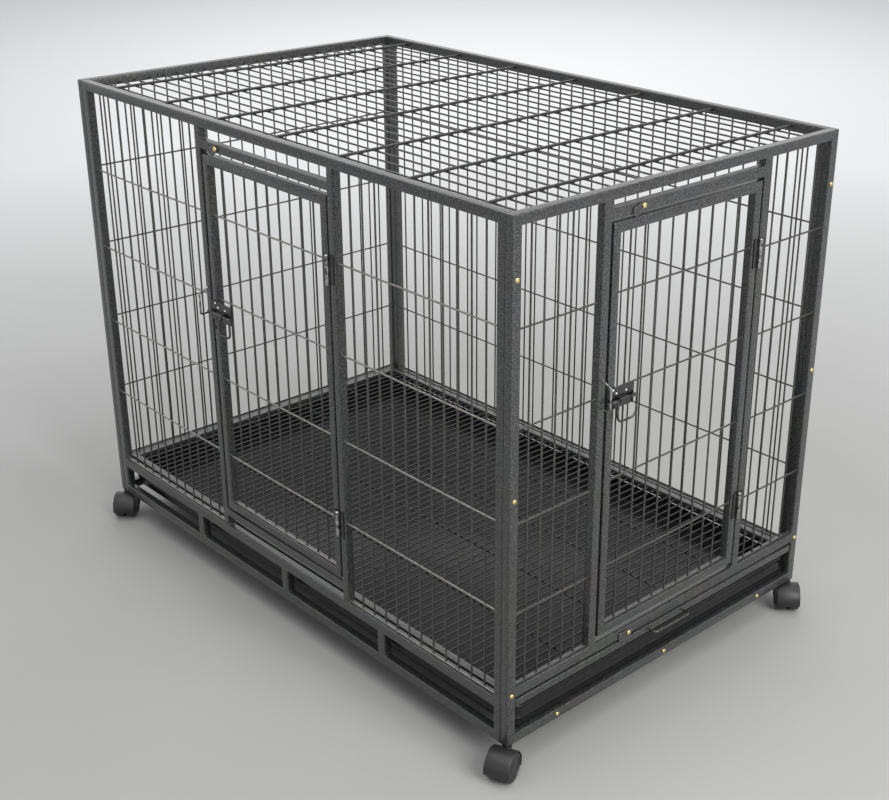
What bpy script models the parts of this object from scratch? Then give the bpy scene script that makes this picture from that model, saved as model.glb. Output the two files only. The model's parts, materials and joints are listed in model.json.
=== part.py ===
"""Rolling pet cage: four welded wire panels and a wire top, two hinged doors, a floor grate and a tray
that slide out at the door end, and four hooded twin-wheel castors.

Metres, +Z up. +X is the length, towards the end that has the door and the tray. -Y is the long side
that has a door. The origin is the middle of the plan, on the underside of the base frame.
"""
import math

import bmesh
import bpy
from mathutils import Matrix, Vector

# Whole cage
LENGTH = 1.095
WIDTH = 0.693
HEIGHT = 0.800

# Square tube of the panel frames: every frame is as deep as TUBE, and its members have one of three widths
TUBE = 0.0145
SLIM = 0.0127
RAIL = 0.016
TUBE_EDGE = 0.0012
SIDE_RAIL_Z = 0.0575
END_RAIL_Z = 0.0795
SEAM = 0.0003

# Wire mesh
WIRE = 0.003
WIRE_ROOT = 0.003
SIDE_PITCH = 0.028
END_PITCH = 0.0257
MESH_ROWS = 5
MESH_TOP_DROP = 0.0127

# Top grid
TOP_PITCH = 0.029
TOP_CROSS_WIRE = 0.0048
TOP_CROSS_INSET = 0.0795
TOP_CROSS_COUNT = 7
TOP_WELD = 0.0011
TOP_DROP = 0.0045

# Doors
DOOR_BAY = 0.330
DOOR_PITCH = 0.0296
LATCH_GAP = 0.005
HINGE_GAP = 0.0036
FRONT_SILL_LIFT = 0.0208
FRONT_HEADER_DROP = 0.0486
FRONT_HEAD_GAP = 0.0092
FRONT_FOOT_GAP = 0.006
END_HEADER_DROP = 0.0433
END_HEAD_GAP = 0.0045
END_FOOT_GAP = 0.0105
END_MESH_LIFT = 0.005

# Hinges
HINGE_HEIGHT = 0.045
LEAF_WIDTH = 0.0115
LEAF_THICK = 0.0015
KNUCKLE_RADIUS = 0.0033
PIN_RADIUS = 0.0014
PIN_CLEARANCE = 0.0003
PIN_HEAD = 0.0012
PIN_HEAD_FLAT = 0.0021
FRONT_HINGE_DROP = 0.1189
FRONT_HINGE_LIFT = 0.1177
END_HINGE_DROP = 0.1167
END_HINGE_LIFT = 0.118

# Slide bolts
PLATE_WIDTH = 0.053
PLATE_HEIGHT = 0.033
PLATE_THICK = 0.0015
PLATE_CORNER = 0.003
ROD_RADIUS = 0.0025
ROD_STANDOFF = 0.0058
ROD_DROP = 0.020
ROD_LENGTH = 0.058
ROD_REACH = 0.0045
ROD_THROW = 0.016
SADDLE_WALL = 0.0012
SADDLE_ROOT = 0.00045
ROD_CLEARANCE = 0.0004
LOOP_WIRE = 0.0036
LOOP_WIDTH = 0.043
LOOP_HANG = 0.0335
LOOP_LEFT = 0.0155
LOOP_BEND = 0.010
FRONT_LATCH_LIFT = 0.099
END_LATCH_LIFT = 0.112
KEEPER_WIRE = 0.003
KEEPER_REACH = 0.017
KEEPER_ABOVE = 0.030
KEEPER_SLOPE = 0.008
KEEPER_BELOW = 0.0052
KEEPER_BEND = 0.003

# Turn-buttons
BUTTON_THICK = 0.0015
BUTTON_STEM = 0.014
BUTTON_TIP_RADIUS = 0.008
BUTTON_EYE_RADIUS = 0.0055
SCREW_RADIUS = 0.002
SCREW_HEAD_RADIUS = 0.0042
SCREW_HEAD_HEIGHT = 0.0026
SCREW_HEAD_FLAT = 0.0026
SCREW_HEAD_CROWN = 0.0004
SCREW_HEAD_RIM = 0.0008
FRONT_BUTTON_INSET = 0.0481
FRONT_BUTTON_TURN = 67.0
END_BUTTON_INSET = 0.0605
END_BUTTON_TURN = 67.0
GRATE_BUTTON_INSET = 0.0735
GRATE_BUTTON_TURN = 82.0

# Floor grate and its runners
GRATE_RAIL_GAP = 0.0053
GRATE_SIDE_GAP = 0.0033
GRATE_END_GAP = 0.001
GRATE_PITCH = 0.0167
GRATE_LONG_INSET = 0.143
GRATE_LONG_COUNT = 4
GRATE_HANDLE_WIRE = 0.004
GRATE_HANDLE_WIDTH = 0.082
GRATE_HANDLE_REACH = 0.015
GRATE_HANDLE_BEND = 0.006
RUNNER_LEDGE = 0.0125
RUNNER_DROP = 0.010
RUNNER_THICK = 0.0015

# Tray and the bars under it
TRAY_SIDE_GAP = 0.0063
TRAY_HEIGHT = 0.038
TRAY_WALL = 0.002
TRAY_CORNER = 0.014
TRAY_FRONT_GAP = 0.0065
TRAY_BACK_GAP = 0.001
TRAY_BEAD = 0.0013
TRAY_BEAD_Z = 0.0145
TRAY_LIP = 0.0022
TRAY_LIP_HEIGHT = 0.0035
TRAY_CHAMFER = 0.0024
TRAY_BAR_INSET = 0.0845

# Castors
CASTOR_HEIGHT = 0.0505
CASTOR_TRAIL = 0.015
WHEEL_RADIUS = 0.023
WHEEL_WIDTH = 0.0165
WHEEL_EDGE = 0.0025
WHEEL_DISH = 0.0015
WHEEL_DISH_RADIUS = 0.0166
WHEEL_RIM_RADIUS = 0.0184
CASTOR_WEB = 0.006
AXLE_RADIUS = 0.0025
AXLE_CLEARANCE = 0.0003
HOOD_CLEARANCE = 0.0008
HOOD_WALL = 0.0016
HOOD_ARC = (-25.0, 195.0)
BOSS_RADIUS = 0.0075
BOSS_LIFT = 0.0115
STEM_RADIUS = 0.004
STEM_CLEARANCE = 0.0003
STEM_DEPTH = 0.0025
COLLAR_RADIUS = 0.0062
COLLAR_HEIGHT = 0.003
CASTOR_TURNS = {"near_left": 22.0, "near_right": 45.0, "far_left": 45.0, "far_right": 30.0}

# Facets
WIRE_FACETS = 1
BEND_STEPS = 4
ROUND_STEPS = 14
FINE_STEPS = 8

WIRE_RADIUS = WIRE / 2
LAYER = (WIRE + SEAM) / 2
TUBE_MIDDLE = TUBE / 2
TOP_RAIL_Z = HEIGHT - RAIL
SIDE_RAIL_TOP = SIDE_RAIL_Z + RAIL
END_RAIL_TOP = END_RAIL_Z + RAIL
FRONT_MULLION_OUT = DOOR_BAY / 2 + SLIM
END_MULLION_OUT = DOOR_BAY / 2 + TUBE
FRONT_SILL_Z = SIDE_RAIL_TOP + FRONT_SILL_LIFT
FRONT_HEADER_Z = HEIGHT - FRONT_HEADER_DROP
END_HEADER_Z = HEIGHT - END_HEADER_DROP
GRATE_TOP_Z = END_RAIL_Z - GRATE_RAIL_GAP
HINGE_OFFSET = KNUCKLE_RADIUS + SEAM

# Lays an outline drawn in (y, z) across the length, with its thickness along X
ALONG_X = Matrix(((0.0, 0.0, 1.0, 0.0), (1.0, 0.0, 0.0, 0.0), (0.0, 1.0, 0.0, 0.0), (0.0, 0.0, 0.0, 1.0)))


def clear_scene():
    for old in list(bpy.data.objects):
        bpy.data.objects.remove(old, do_unlink=True)


def make_collection(name):
    collection = bpy.data.collections.new(name)
    bpy.context.scene.collection.children.link(collection)
    return collection


def make_material(name, colour, roughness, metallic):
    material = bpy.data.materials.new(name)
    material.use_nodes = True
    shader = material.node_tree.nodes["Principled BSDF"]
    shader.inputs["Base Color"].default_value = (*colour, 1.0)
    shader.inputs["Roughness"].default_value = roughness
    shader.inputs["Metallic"].default_value = metallic
    return material


clear_scene()
CAGE = make_collection("pet_cage")
TOOLS = make_collection("pet_cage_tools")

COATED = make_material("charcoal_powder_coat", (0.055, 0.056, 0.055), 0.55, 0.2)
ZINC = make_material("bright_zinc", (0.62, 0.63, 0.64), 0.3, 1.0)
BRASS = make_material("yellow_zinc_screw", (0.65, 0.50, 0.22), 0.35, 1.0)
TRAY_BLACK = make_material("black_tray", (0.02, 0.02, 0.021), 0.35, 0.0)
PLASTIC = make_material("black_castor_plastic", (0.018, 0.018, 0.019), 0.45, 0.0)


def keep(obj, material, parent=None, location=(0.0, 0.0, 0.0)):
    """Gives a finished piece its material, its parent and its place."""
    obj.data.materials.clear()
    obj.data.materials.append(material)
    obj.parent = parent
    obj.location = location
    obj.data.shade_smooth()
    obj.data.set_sharp_from_angle(angle=math.radians(35))
    return obj


def make_empty(name, location, turn=0.0, parent=None):
    empty = bpy.data.objects.new(name, None)
    empty.location = location
    empty.rotation_euler = (0.0, 0.0, math.radians(turn))
    empty.parent = parent
    CAGE.objects.link(empty)
    return empty


def baked(obj):
    """Turns a curve, or an object with modifiers, into a plain closed mesh at the world origin."""
    bpy.context.view_layer.update()
    evaluated = obj.evaluated_get(bpy.context.evaluated_depsgraph_get())
    mesh = bpy.data.meshes.new_from_object(evaluated)
    mesh.transform(obj.matrix_world)
    welded = bmesh.new()
    welded.from_mesh(mesh)
    bmesh.ops.remove_doubles(welded, verts=welded.verts, dist=0.000001)
    bmesh.ops.recalc_face_normals(welded, faces=welded.faces)
    welded.to_mesh(mesh)
    welded.free()
    name = obj.name
    old_data = obj.data
    bpy.data.objects.remove(obj, do_unlink=True)
    if isinstance(old_data, bpy.types.Curve):
        bpy.data.curves.remove(old_data)
    result = bpy.data.objects.new(name, mesh)
    CAGE.objects.link(result)
    return result


def combine(target, piece, operation):
    """Welds or cuts one closed mesh with another, and removes the second."""
    boolean = target.modifiers.new("combine", "BOOLEAN")
    boolean.operation = operation
    boolean.solver = "EXACT"
    boolean.object = piece
    result = baked(target)
    bpy.data.objects.remove(piece, do_unlink=True)
    return result


def weld(target, *pieces):
    for piece in pieces:
        target = combine(target, piece, "UNION")
    return target


def cut(target, *pieces):
    for piece in pieces:
        target = combine(target, piece, "DIFFERENCE")
    return target


def flat_outline(name, loops, thickness, matrix=None):
    """A plate centred on z = 0, from closed loops of (x, y) points: the outside first, then any holes."""
    curve = bpy.data.curves.new(name, "CURVE")
    curve.dimensions = "2D"
    curve.fill_mode = "BOTH"
    curve.extrude = thickness / 2
    for loop in loops:
        spline = curve.splines.new("POLY")
        spline.points.add(len(loop) - 1)
        for point, (x, y) in zip(spline.points, loop):
            point.co = (x, y, 0.0, 1.0)
        spline.use_cyclic_u = True
    plate = bpy.data.objects.new(name, curve)
    plate.matrix_world = matrix or Matrix()
    CAGE.objects.link(plate)
    return baked(plate)


def upright(depth):
    """Stands a flat outline up, its y to +Z, with its middle at this depth behind the face."""
    return Matrix.Translation((0.0, depth, 0.0)) @ Matrix.Rotation(math.radians(90), 4, "X")


def bore_radius(shaft, clearance, steps=FINE_STEPS):
    """The corner radius of a faceted bore whose flats clear a round shaft in every position."""
    return (shaft + clearance) / math.cos(math.pi / steps)


def rectangle(x0, x1, z0, z1):
    return [(x0, z0), (x1, z0), (x1, z1), (x0, z1)]


def circle_points(radius, steps, centre=(0.0, 0.0), start=0.0, end=360.0):
    """Points along an arc in degrees; a full circle leaves out its repeated last point."""
    full = abs(end - start) >= 360.0
    count = steps if full else steps + 1
    angles = [math.radians(start + (end - start) * i / steps) for i in range(count)]
    return [(centre[0] + radius * math.cos(a), centre[1] + radius * math.sin(a)) for a in angles]


def rounded_edges(obj, width):
    """Rounds the edges of a square tube frame."""
    bevel = obj.modifiers.new("rounded_edges", "BEVEL")
    bevel.width = width
    bevel.segments = 1
    bevel.limit_method = "ANGLE"
    bevel.angle_limit = math.radians(40)
    return baked(obj)


def wires(name, lines, radius, facets=WIRE_FACETS):
    """Round wires along several lines of points, as one mesh of separate closed wires."""
    curve = bpy.data.curves.new(name, "CURVE")
    curve.dimensions = "3D"
    curve.bevel_depth = radius
    curve.bevel_resolution = facets
    curve.use_fill_caps = True
    for line in lines:
        spline = curve.splines.new("POLY")
        spline.points.add(len(line) - 1)
        for point, place in zip(spline.points, line):
            point.co = (*place, 1.0)
    wire = bpy.data.objects.new(name, curve)
    CAGE.objects.link(wire)
    return baked(wire)


def bent(corners, radius, steps=BEND_STEPS):
    """A path through these corners, with each inner corner rounded to an arc."""
    corners = [Vector(corner) for corner in corners]
    path = [corners[0]]
    for before, corner, after in zip(corners, corners[1:], corners[2:]):
        towards = (before - corner).normalized()
        away = (after - corner).normalized()
        half = towards.angle(away) / 2
        setback = radius / math.tan(half)
        centre = corner + (towards + away).normalized() * (radius / math.sin(half))
        first = corner + towards * setback - centre
        last = corner + away * setback - centre
        sweep = first.angle(last)
        for i in range(steps + 1):
            share = i / steps
            arm = first * math.sin((1 - share) * sweep) + last * math.sin(share * sweep)
            path.append(centre + arm / math.sin(sweep))
    path.append(corners[-1])
    return path


def turned(name, profile, steps=ROUND_STEPS):
    """A turned solid about Z from (radius, z) points, top to bottom, closed on the axis at both ends."""
    mesh = bpy.data.meshes.new(name)
    shape = bmesh.new()
    verts = [shape.verts.new((radius, 0.0, z)) for radius, z in profile]
    for first, second in zip(verts, verts[1:]):
        shape.edges.new((first, second))
    shape.to_mesh(mesh)
    shape.free()
    obj = bpy.data.objects.new(name, mesh)
    CAGE.objects.link(obj)
    screw = obj.modifiers.new("turn", "SCREW")
    screw.steps = steps
    screw.render_steps = steps
    screw.use_merge_vertices = True
    screw.merge_threshold = 0.00001
    return baked(obj)


def cylinder(name, radius, z0, z1, steps=ROUND_STEPS, matrix=None):
    mesh = bpy.data.meshes.new(name)
    shape = bmesh.new()
    bmesh.ops.create_cone(shape, cap_ends=True, segments=steps, radius1=radius, radius2=radius, depth=z1 - z0,
                          matrix=(matrix or Matrix()) @ Matrix.Translation((0.0, 0.0, (z0 + z1) / 2)))
    shape.to_mesh(mesh)
    shape.free()
    obj = bpy.data.objects.new(name, mesh)
    CAGE.objects.link(obj)
    return obj


def boxes(name, spans):
    """Separate boxes in one mesh, from (lowest corner, highest corner) pairs."""
    mesh = bpy.data.meshes.new(name)
    shape = bmesh.new()
    for low, high in spans:
        size = [b - a for a, b in zip(low, high)]
        middle = [(a + b) / 2 for a, b in zip(low, high)]
        place = Matrix.Translation(middle) @ Matrix.Diagonal((*size, 1.0))
        bmesh.ops.create_cube(shape, size=1.0, matrix=place)
    shape.to_mesh(mesh)
    shape.free()
    obj = bpy.data.objects.new(name, mesh)
    CAGE.objects.link(obj)
    return obj


def between(low, high, pitch):
    """Places that divide a span into equal gaps of about this pitch, without the span's ends."""
    gaps = max(1, round((high - low) / pitch))
    return [low + (high - low) * i / gaps for i in range(1, gaps)]


def mesh_lines(x0, x1, z0, z1, pitch, rows):
    """Upright wires behind, level wires and a border wire in front, all rooted in the frame round them."""
    behind = TUBE_MIDDLE + LAYER
    front = TUBE_MIDDLE - LAYER
    lines = [[(x, behind, z0 - WIRE_ROOT), (x, behind, z1 + WIRE_ROOT)] for x in between(x0, x1, pitch)]
    border = z0 + WIRE_RADIUS + SEAM
    lines += [[(x0 - WIRE_ROOT, front, z), (x1 + WIRE_ROOT, front, z)] for z in [border, *rows]]
    return lines


def frame_panel(name, half, z0, z1, windows, lines):
    """A welded panel: a flat frame of square tube with windows, and the wires that cross some of them."""
    slab = boxes(name, [((-half, 0.0, z0), (half, TUBE, z1))])
    holes = [((x0, -TUBE, low), (x1, 2 * TUBE, high)) for x0, x1, low, high in windows]
    frame = rounded_edges(cut(slab, boxes(name + "_windows", holes)), TUBE_EDGE)
    return weld(frame, wires(name + "_wires", lines, WIRE_RADIUS))


MESH_SPAN = HEIGHT - MESH_TOP_DROP - SIDE_RAIL_TOP
ROWS = [SIDE_RAIL_TOP + MESH_SPAN * i / MESH_ROWS for i in range(1, MESH_ROWS)]

# The four faces: x runs to the right seen from outside, y runs inwards
FRONT_FACE = make_empty("front_face", (0.0, -WIDTH / 2, 0.0), 0.0)
BACK_FACE = make_empty("back_face", (0.0, WIDTH / 2, 0.0), 180.0)
DOOR_END_FACE = make_empty("door_end_face", (LENGTH / 2, 0.0, 0.0), 90.0)
FAR_END_FACE = make_empty("far_end_face", (-LENGTH / 2, 0.0, 0.0), -90.0)


def side_base_windows(half):
    """The four open bays between the base rail, the bottom rail and the three uprights."""
    inner = half - TUBE
    edges = [-inner]
    for middle in (-inner / 2, 0.0, inner / 2):
        edges += [middle - RAIL / 2, middle + RAIL / 2]
    edges.append(inner)
    return [(edges[i], edges[i + 1], RAIL, SIDE_RAIL_Z) for i in range(0, len(edges), 2)]


def make_side_panels():
    half = LENGTH / 2 - TUBE - SEAM
    inner = half - TUBE
    sill_top = FRONT_SILL_Z + SLIM
    header_top = FRONT_HEADER_Z + SLIM
    bays = [
        (-inner, -FRONT_MULLION_OUT, SIDE_RAIL_TOP, TOP_RAIL_Z),
        (FRONT_MULLION_OUT, inner, SIDE_RAIL_TOP, TOP_RAIL_Z),
    ]
    middle = [
        (-DOOR_BAY / 2, DOOR_BAY / 2, header_top, TOP_RAIL_Z),
        (-DOOR_BAY / 2, DOOR_BAY / 2, sill_top, FRONT_HEADER_Z),
        (-DOOR_BAY / 2, DOOR_BAY / 2, SIDE_RAIL_TOP, FRONT_SILL_Z),
    ]
    lines = []
    for x0, x1, z0, z1 in bays:
        lines += mesh_lines(x0, x1, z0, z1, SIDE_PITCH, ROWS)
    windows = bays + middle + side_base_windows(half)
    keep(frame_panel("front_side_panel", half, 0.0, HEIGHT, windows, lines), COATED, FRONT_FACE)

    field = (-inner, inner, SIDE_RAIL_TOP, TOP_RAIL_Z)
    windows = [field] + side_base_windows(half)
    lines = mesh_lines(*field, SIDE_PITCH, ROWS)
    keep(frame_panel("back_side_panel", half, 0.0, HEIGHT, windows, lines), COATED, BACK_FACE)


def make_end_panels():
    half = WIDTH / 2
    inner = half - RAIL
    header_top = END_HEADER_Z + RAIL
    bays = [
        (-inner, -END_MULLION_OUT, END_RAIL_TOP, TOP_RAIL_Z),
        (END_MULLION_OUT, inner, END_RAIL_TOP, TOP_RAIL_Z),
    ]
    middle = [
        (-DOOR_BAY / 2, DOOR_BAY / 2, header_top, TOP_RAIL_Z),
        (-DOOR_BAY / 2, DOOR_BAY / 2, END_RAIL_TOP, END_HEADER_Z),
        (-inner, inner, RAIL, END_RAIL_Z),
    ]
    lines = []
    for x0, x1, z0, z1 in bays:
        lines += mesh_lines(x0, x1, z0, z1, END_PITCH, ROWS)
    keep(frame_panel("door_end_panel", half, 0.0, HEIGHT, bays + middle, lines), COATED, DOOR_END_FACE)

    field = (-inner, inner, SIDE_RAIL_TOP, TOP_RAIL_Z)
    windows = [field, (-inner, inner, RAIL, SIDE_RAIL_Z)]
    lines = mesh_lines(*field, END_PITCH, ROWS)
    keep(frame_panel("far_end_panel", half, 0.0, HEIGHT, windows, lines), COATED, FAR_END_FACE)


def make_top_grid():
    """Long wires between the end rails, with heavier wires laid across on top and spot-welded to them."""
    long_end = LENGTH / 2 - TUBE - SEAM
    cross_end = WIDTH / 2 - TUBE - SEAM
    cross_z = HEIGHT - TOP_DROP - TOP_CROSS_WIRE / 2
    long_z = cross_z - TOP_CROSS_WIRE / 2 - WIRE_RADIUS - SEAM
    places = between(-cross_end, cross_end, TOP_PITCH)
    long_lines = [[(-long_end, y, long_z), (long_end, y, long_z)] for y in places]
    first = TOP_CROSS_INSET - LENGTH / 2
    cross_places = [first + (-2 * first) * i / (TOP_CROSS_COUNT - 1) for i in range(TOP_CROSS_COUNT)]
    cross_lines = []
    nuggets = []
    for i, x in enumerate(cross_places):
        cross_lines.append([(x, -cross_end, cross_z), (x, cross_end, cross_z)])
        for k, y in enumerate(places):
            if k in (0, len(places) - 1) or (i + k) % TOP_CROSS_COUNT == 0:
                nuggets.append([(x, y, long_z), (x, y, cross_z)])
    grid = wires("top_grid", long_lines, WIRE_RADIUS)
    cross = wires("top_cross_wires", cross_lines, TOP_CROSS_WIRE / 2)
    keep(weld(grid, wires("top_welds", nuggets, TOP_WELD, 0), cross), COATED)


def make_door(name, face, stile, foot_z, head_z, mesh_lift, plate_top, hinges):
    """A door with its latch and hinges, hung on an empty on its hinge axis."""
    hinge_x = DOOR_BAY / 2 - HINGE_GAP / 2
    axis = make_empty(name + "_hinge_axis", (hinge_x, -HINGE_OFFSET, 0.0), 0.0, face)
    right = DOOR_BAY / 2 - HINGE_GAP - hinge_x
    width = DOOR_BAY - LATCH_GAP - HINGE_GAP
    half = width / 2
    middle = right - half
    inner = half - stile
    window = (-inner, inner, foot_z + SLIM, head_z - RAIL)
    lines = mesh_lines(*window, DOOR_PITCH, [z + mesh_lift for z in ROWS])
    door = frame_panel(name, half, foot_z, head_z, [window], lines)
    keep(door, COATED, axis, (middle, HINGE_OFFSET, 0.0))
    make_latch(name.split("_")[0], face, axis, hinge_x, middle - half, plate_top)
    for place, z in hinges.items():
        make_hinge(name.split("_")[0] + "_" + place, face, axis, hinge_x, z)


def make_hinge(name, face, axis, hinge_x, z):
    """Two leaves with interleaved knuckles and a pin: the frame's leaf has the outer two knuckles."""
    third = HINGE_HEIGHT / 3
    bottom = -HINGE_HEIGHT / 2
    frame_spans = [(bottom, bottom + third - SEAM / 2), (-bottom - third + SEAM / 2, -bottom)]
    door_span = (bottom + third + SEAM / 2, -bottom - third - SEAM / 2)
    bore = bore_radius(PIN_RADIUS, PIN_CLEARANCE)
    plate_y = HINGE_OFFSET - SEAM - LEAF_THICK / 2

    def leaf(leaf_name, direction, spans):
        far = direction * (LEAF_WIDTH + PIN_CLEARANCE)
        edge = direction * (KNUCKLE_RADIUS + SEAM)
        low, high = spans[0][0], spans[-1][1]
        loop = [(far, bottom), (far, -bottom)]
        if len(spans) == 2:
            loop += [(0.0, high), (0.0, spans[1][0]), (edge, spans[1][0])]
            loop += [(edge, spans[0][1]), (0.0, spans[0][1]), (0.0, low)]
        else:
            loop += [(edge, -bottom), (edge, high), (0.0, high), (0.0, low), (edge, low), (edge, bottom)]
        if direction > 0:
            loop.reverse()
        plate = flat_outline(leaf_name, [loop], LEAF_THICK, upright(plate_y))
        for low, high in spans:
            ring = [circle_points(KNUCKLE_RADIUS, FINE_STEPS), circle_points(bore, FINE_STEPS)]
            shift = Matrix.Translation((0.0, 0.0, (low + high) / 2))
            knuckle = flat_outline(leaf_name + "_knuckle", ring, high - low, shift)
            plate = weld(plate, knuckle)
        return plate

    keep(leaf(name + "_hinge_frame_leaf", 1, frame_spans), COATED, face, (hinge_x, -HINGE_OFFSET, z))
    keep(leaf(name + "_hinge_door_leaf", -1, [door_span]), COATED, axis, (0.0, 0.0, z))
    head_radius = KNUCKLE_RADIUS - SEAM
    top = -bottom + SEAM
    pin = turned(name + "_hinge_pin", [
        (0.0, top + PIN_HEAD),
        (PIN_HEAD_FLAT, top + PIN_HEAD),
        (head_radius, top + PIN_HEAD / 2),
        (head_radius, top),
        (PIN_RADIUS, top),
        (PIN_RADIUS, bottom - PIN_HEAD),
        (0.0, bottom - PIN_HEAD),
    ], FINE_STEPS)
    keep(pin, ZINC, face, (hinge_x, -HINGE_OFFSET, z))


def make_latch(name, face, axis, hinge_x, door_left, plate_top):
    """Latch plate with its saddle, the sliding bolt with its loop, and the wire keeper on the frame."""
    rod_z = plate_top - ROD_DROP
    plate_y = -SEAM - PLATE_THICK / 2
    saddle_inner = ROD_RADIUS + ROD_CLEARANCE
    saddle_outer = saddle_inner + SADDLE_WALL
    loop_left = door_left + LOOP_LEFT
    loop_right = loop_left + LOOP_WIDTH - LOOP_WIRE
    saddle_left = loop_left + LOOP_WIRE / 2 + ROD_CLEARANCE
    saddle_right = loop_right - LOOP_WIRE / 2 - ROD_CLEARANCE - ROD_THROW

    plate_loop = bent_loop(rectangle(door_left, door_left + PLATE_WIDTH, plate_top - PLATE_HEIGHT, plate_top),
                            PLATE_CORNER)
    plate = flat_outline(name + "_latch_plate", [plate_loop], PLATE_THICK, upright(plate_y + HINGE_OFFSET))
    root = ROD_STANDOFF - SEAM - PLATE_THICK + SADDLE_ROOT
    arch = [(-root, saddle_outer)] + [(y, z) for y, z in circle_points(saddle_outer, 8, start=90, end=-90)]
    arch += [(-root, -saddle_outer), (-root, -saddle_inner)]
    arch += [(y, z) for y, z in circle_points(saddle_inner, 8, start=-90, end=90)] + [(-root, saddle_inner)]
    middle = (saddle_left + saddle_right) / 2
    stand = Matrix.Translation((middle, HINGE_OFFSET - ROD_STANDOFF, rod_z)) @ Matrix((
        (0.0, 0.0, 1.0, 0.0),
        (-1.0, 0.0, 0.0, 0.0),
        (0.0, 1.0, 0.0, 0.0),
        (0.0, 0.0, 0.0, 1.0),
    ))
    saddle = flat_outline(name + "_saddle", [arch], saddle_right - saddle_left, stand)
    keep(weld(plate, saddle), COATED, axis)

    keeper_x = -DOOR_BAY / 2 - TUBE_MIDDLE
    tip = keeper_x + ROD_REACH - hinge_x
    rod = wires(name + "_slide_bolt", [[(0.0, 0.0, 0.0), (ROD_LENGTH, 0.0, 0.0)]], ROD_RADIUS, 2)
    hang = -LOOP_HANG
    forward = -(ROD_RADIUS - LOOP_WIRE / 2)
    corners = [
        (loop_left - tip, forward, 0.0),
        (loop_left - tip, forward, hang),
        (loop_right - tip, forward, hang),
        (loop_right - tip, forward, 0.0),
    ]
    loop = wires(name + "_loop", [bent(corners, LOOP_BEND)], LOOP_WIRE / 2)
    keep(weld(rod, loop), ZINC, axis, (tip, HINGE_OFFSET - ROD_STANDOFF, rod_z))

    high = rod_z + KEEPER_ABOVE
    low = rod_z - KEEPER_BELOW
    tilt = KEEPER_WIRE / 2 * math.sin(math.atan2(KEEPER_SLOPE, KEEPER_REACH))
    staple = bent([
        (0.0, -SEAM - tilt, high + KEEPER_SLOPE),
        (0.0, -KEEPER_REACH, high),
        (0.0, -KEEPER_REACH, low),
        (0.0, -SEAM, low),
    ], KEEPER_BEND)
    keep(wires(name + "_keeper", [staple], KEEPER_WIRE / 2, 2), ZINC, face, (keeper_x, 0.0, 0.0))


def bent_loop(corners, radius, steps=2):
    """A closed loop of (x, y) corners with each corner rounded."""
    count = len(corners)
    points = []
    for i, corner in enumerate(corners):
        before = Vector((*corners[i - 1], 0.0))
        after = Vector((*corners[(i + 1) % count], 0.0))
        here = Vector((*corner, 0.0))
        arc = bent([before, here, after], radius, steps)[1:-1]
        points += [(point.x, point.y) for point in arc]
    return points


def make_button(name, face, x, z, turn):
    """A flat turn-button on a screw: an eye round the screw and a wide tip, with straight sides between."""
    eye = BUTTON_EYE_RADIUS
    tip = BUTTON_TIP_RADIUS
    lean = math.degrees(math.asin((tip - eye) / BUTTON_STEM))
    outline = circle_points(tip, 10, (0.0, -BUTTON_STEM), 180 - lean, 360 + lean)
    outline += circle_points(eye, 6, (0.0, 0.0), lean, 180 - lean)
    hole = circle_points(bore_radius(SCREW_RADIUS, PIN_CLEARANCE), FINE_STEPS)
    swing = Matrix.Rotation(math.radians(turn), 4, "Y")
    plate = flat_outline(name + "_button", [outline, hole], BUTTON_THICK, swing @ upright(0.0))
    keep(plate, COATED, face, (x, -SEAM - BUTTON_THICK / 2, z))
    under = SEAM + BUTTON_THICK + SEAM
    lay = Matrix.Rotation(math.radians(90), 4, "X")
    screw = turned(name + "_button_screw", [
        (0.0, under + SCREW_HEAD_HEIGHT),
        (SCREW_HEAD_FLAT, under + SCREW_HEAD_HEIGHT - SCREW_HEAD_CROWN),
        (SCREW_HEAD_RADIUS, under + SCREW_HEAD_RIM),
        (SCREW_HEAD_RADIUS, under),
        (SCREW_RADIUS, under),
        (SCREW_RADIUS, SEAM),
        (0.0, SEAM),
    ], FINE_STEPS)
    screw.data.transform(lay)
    keep(screw, BRASS, face, (x, 0.0, z))


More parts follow.
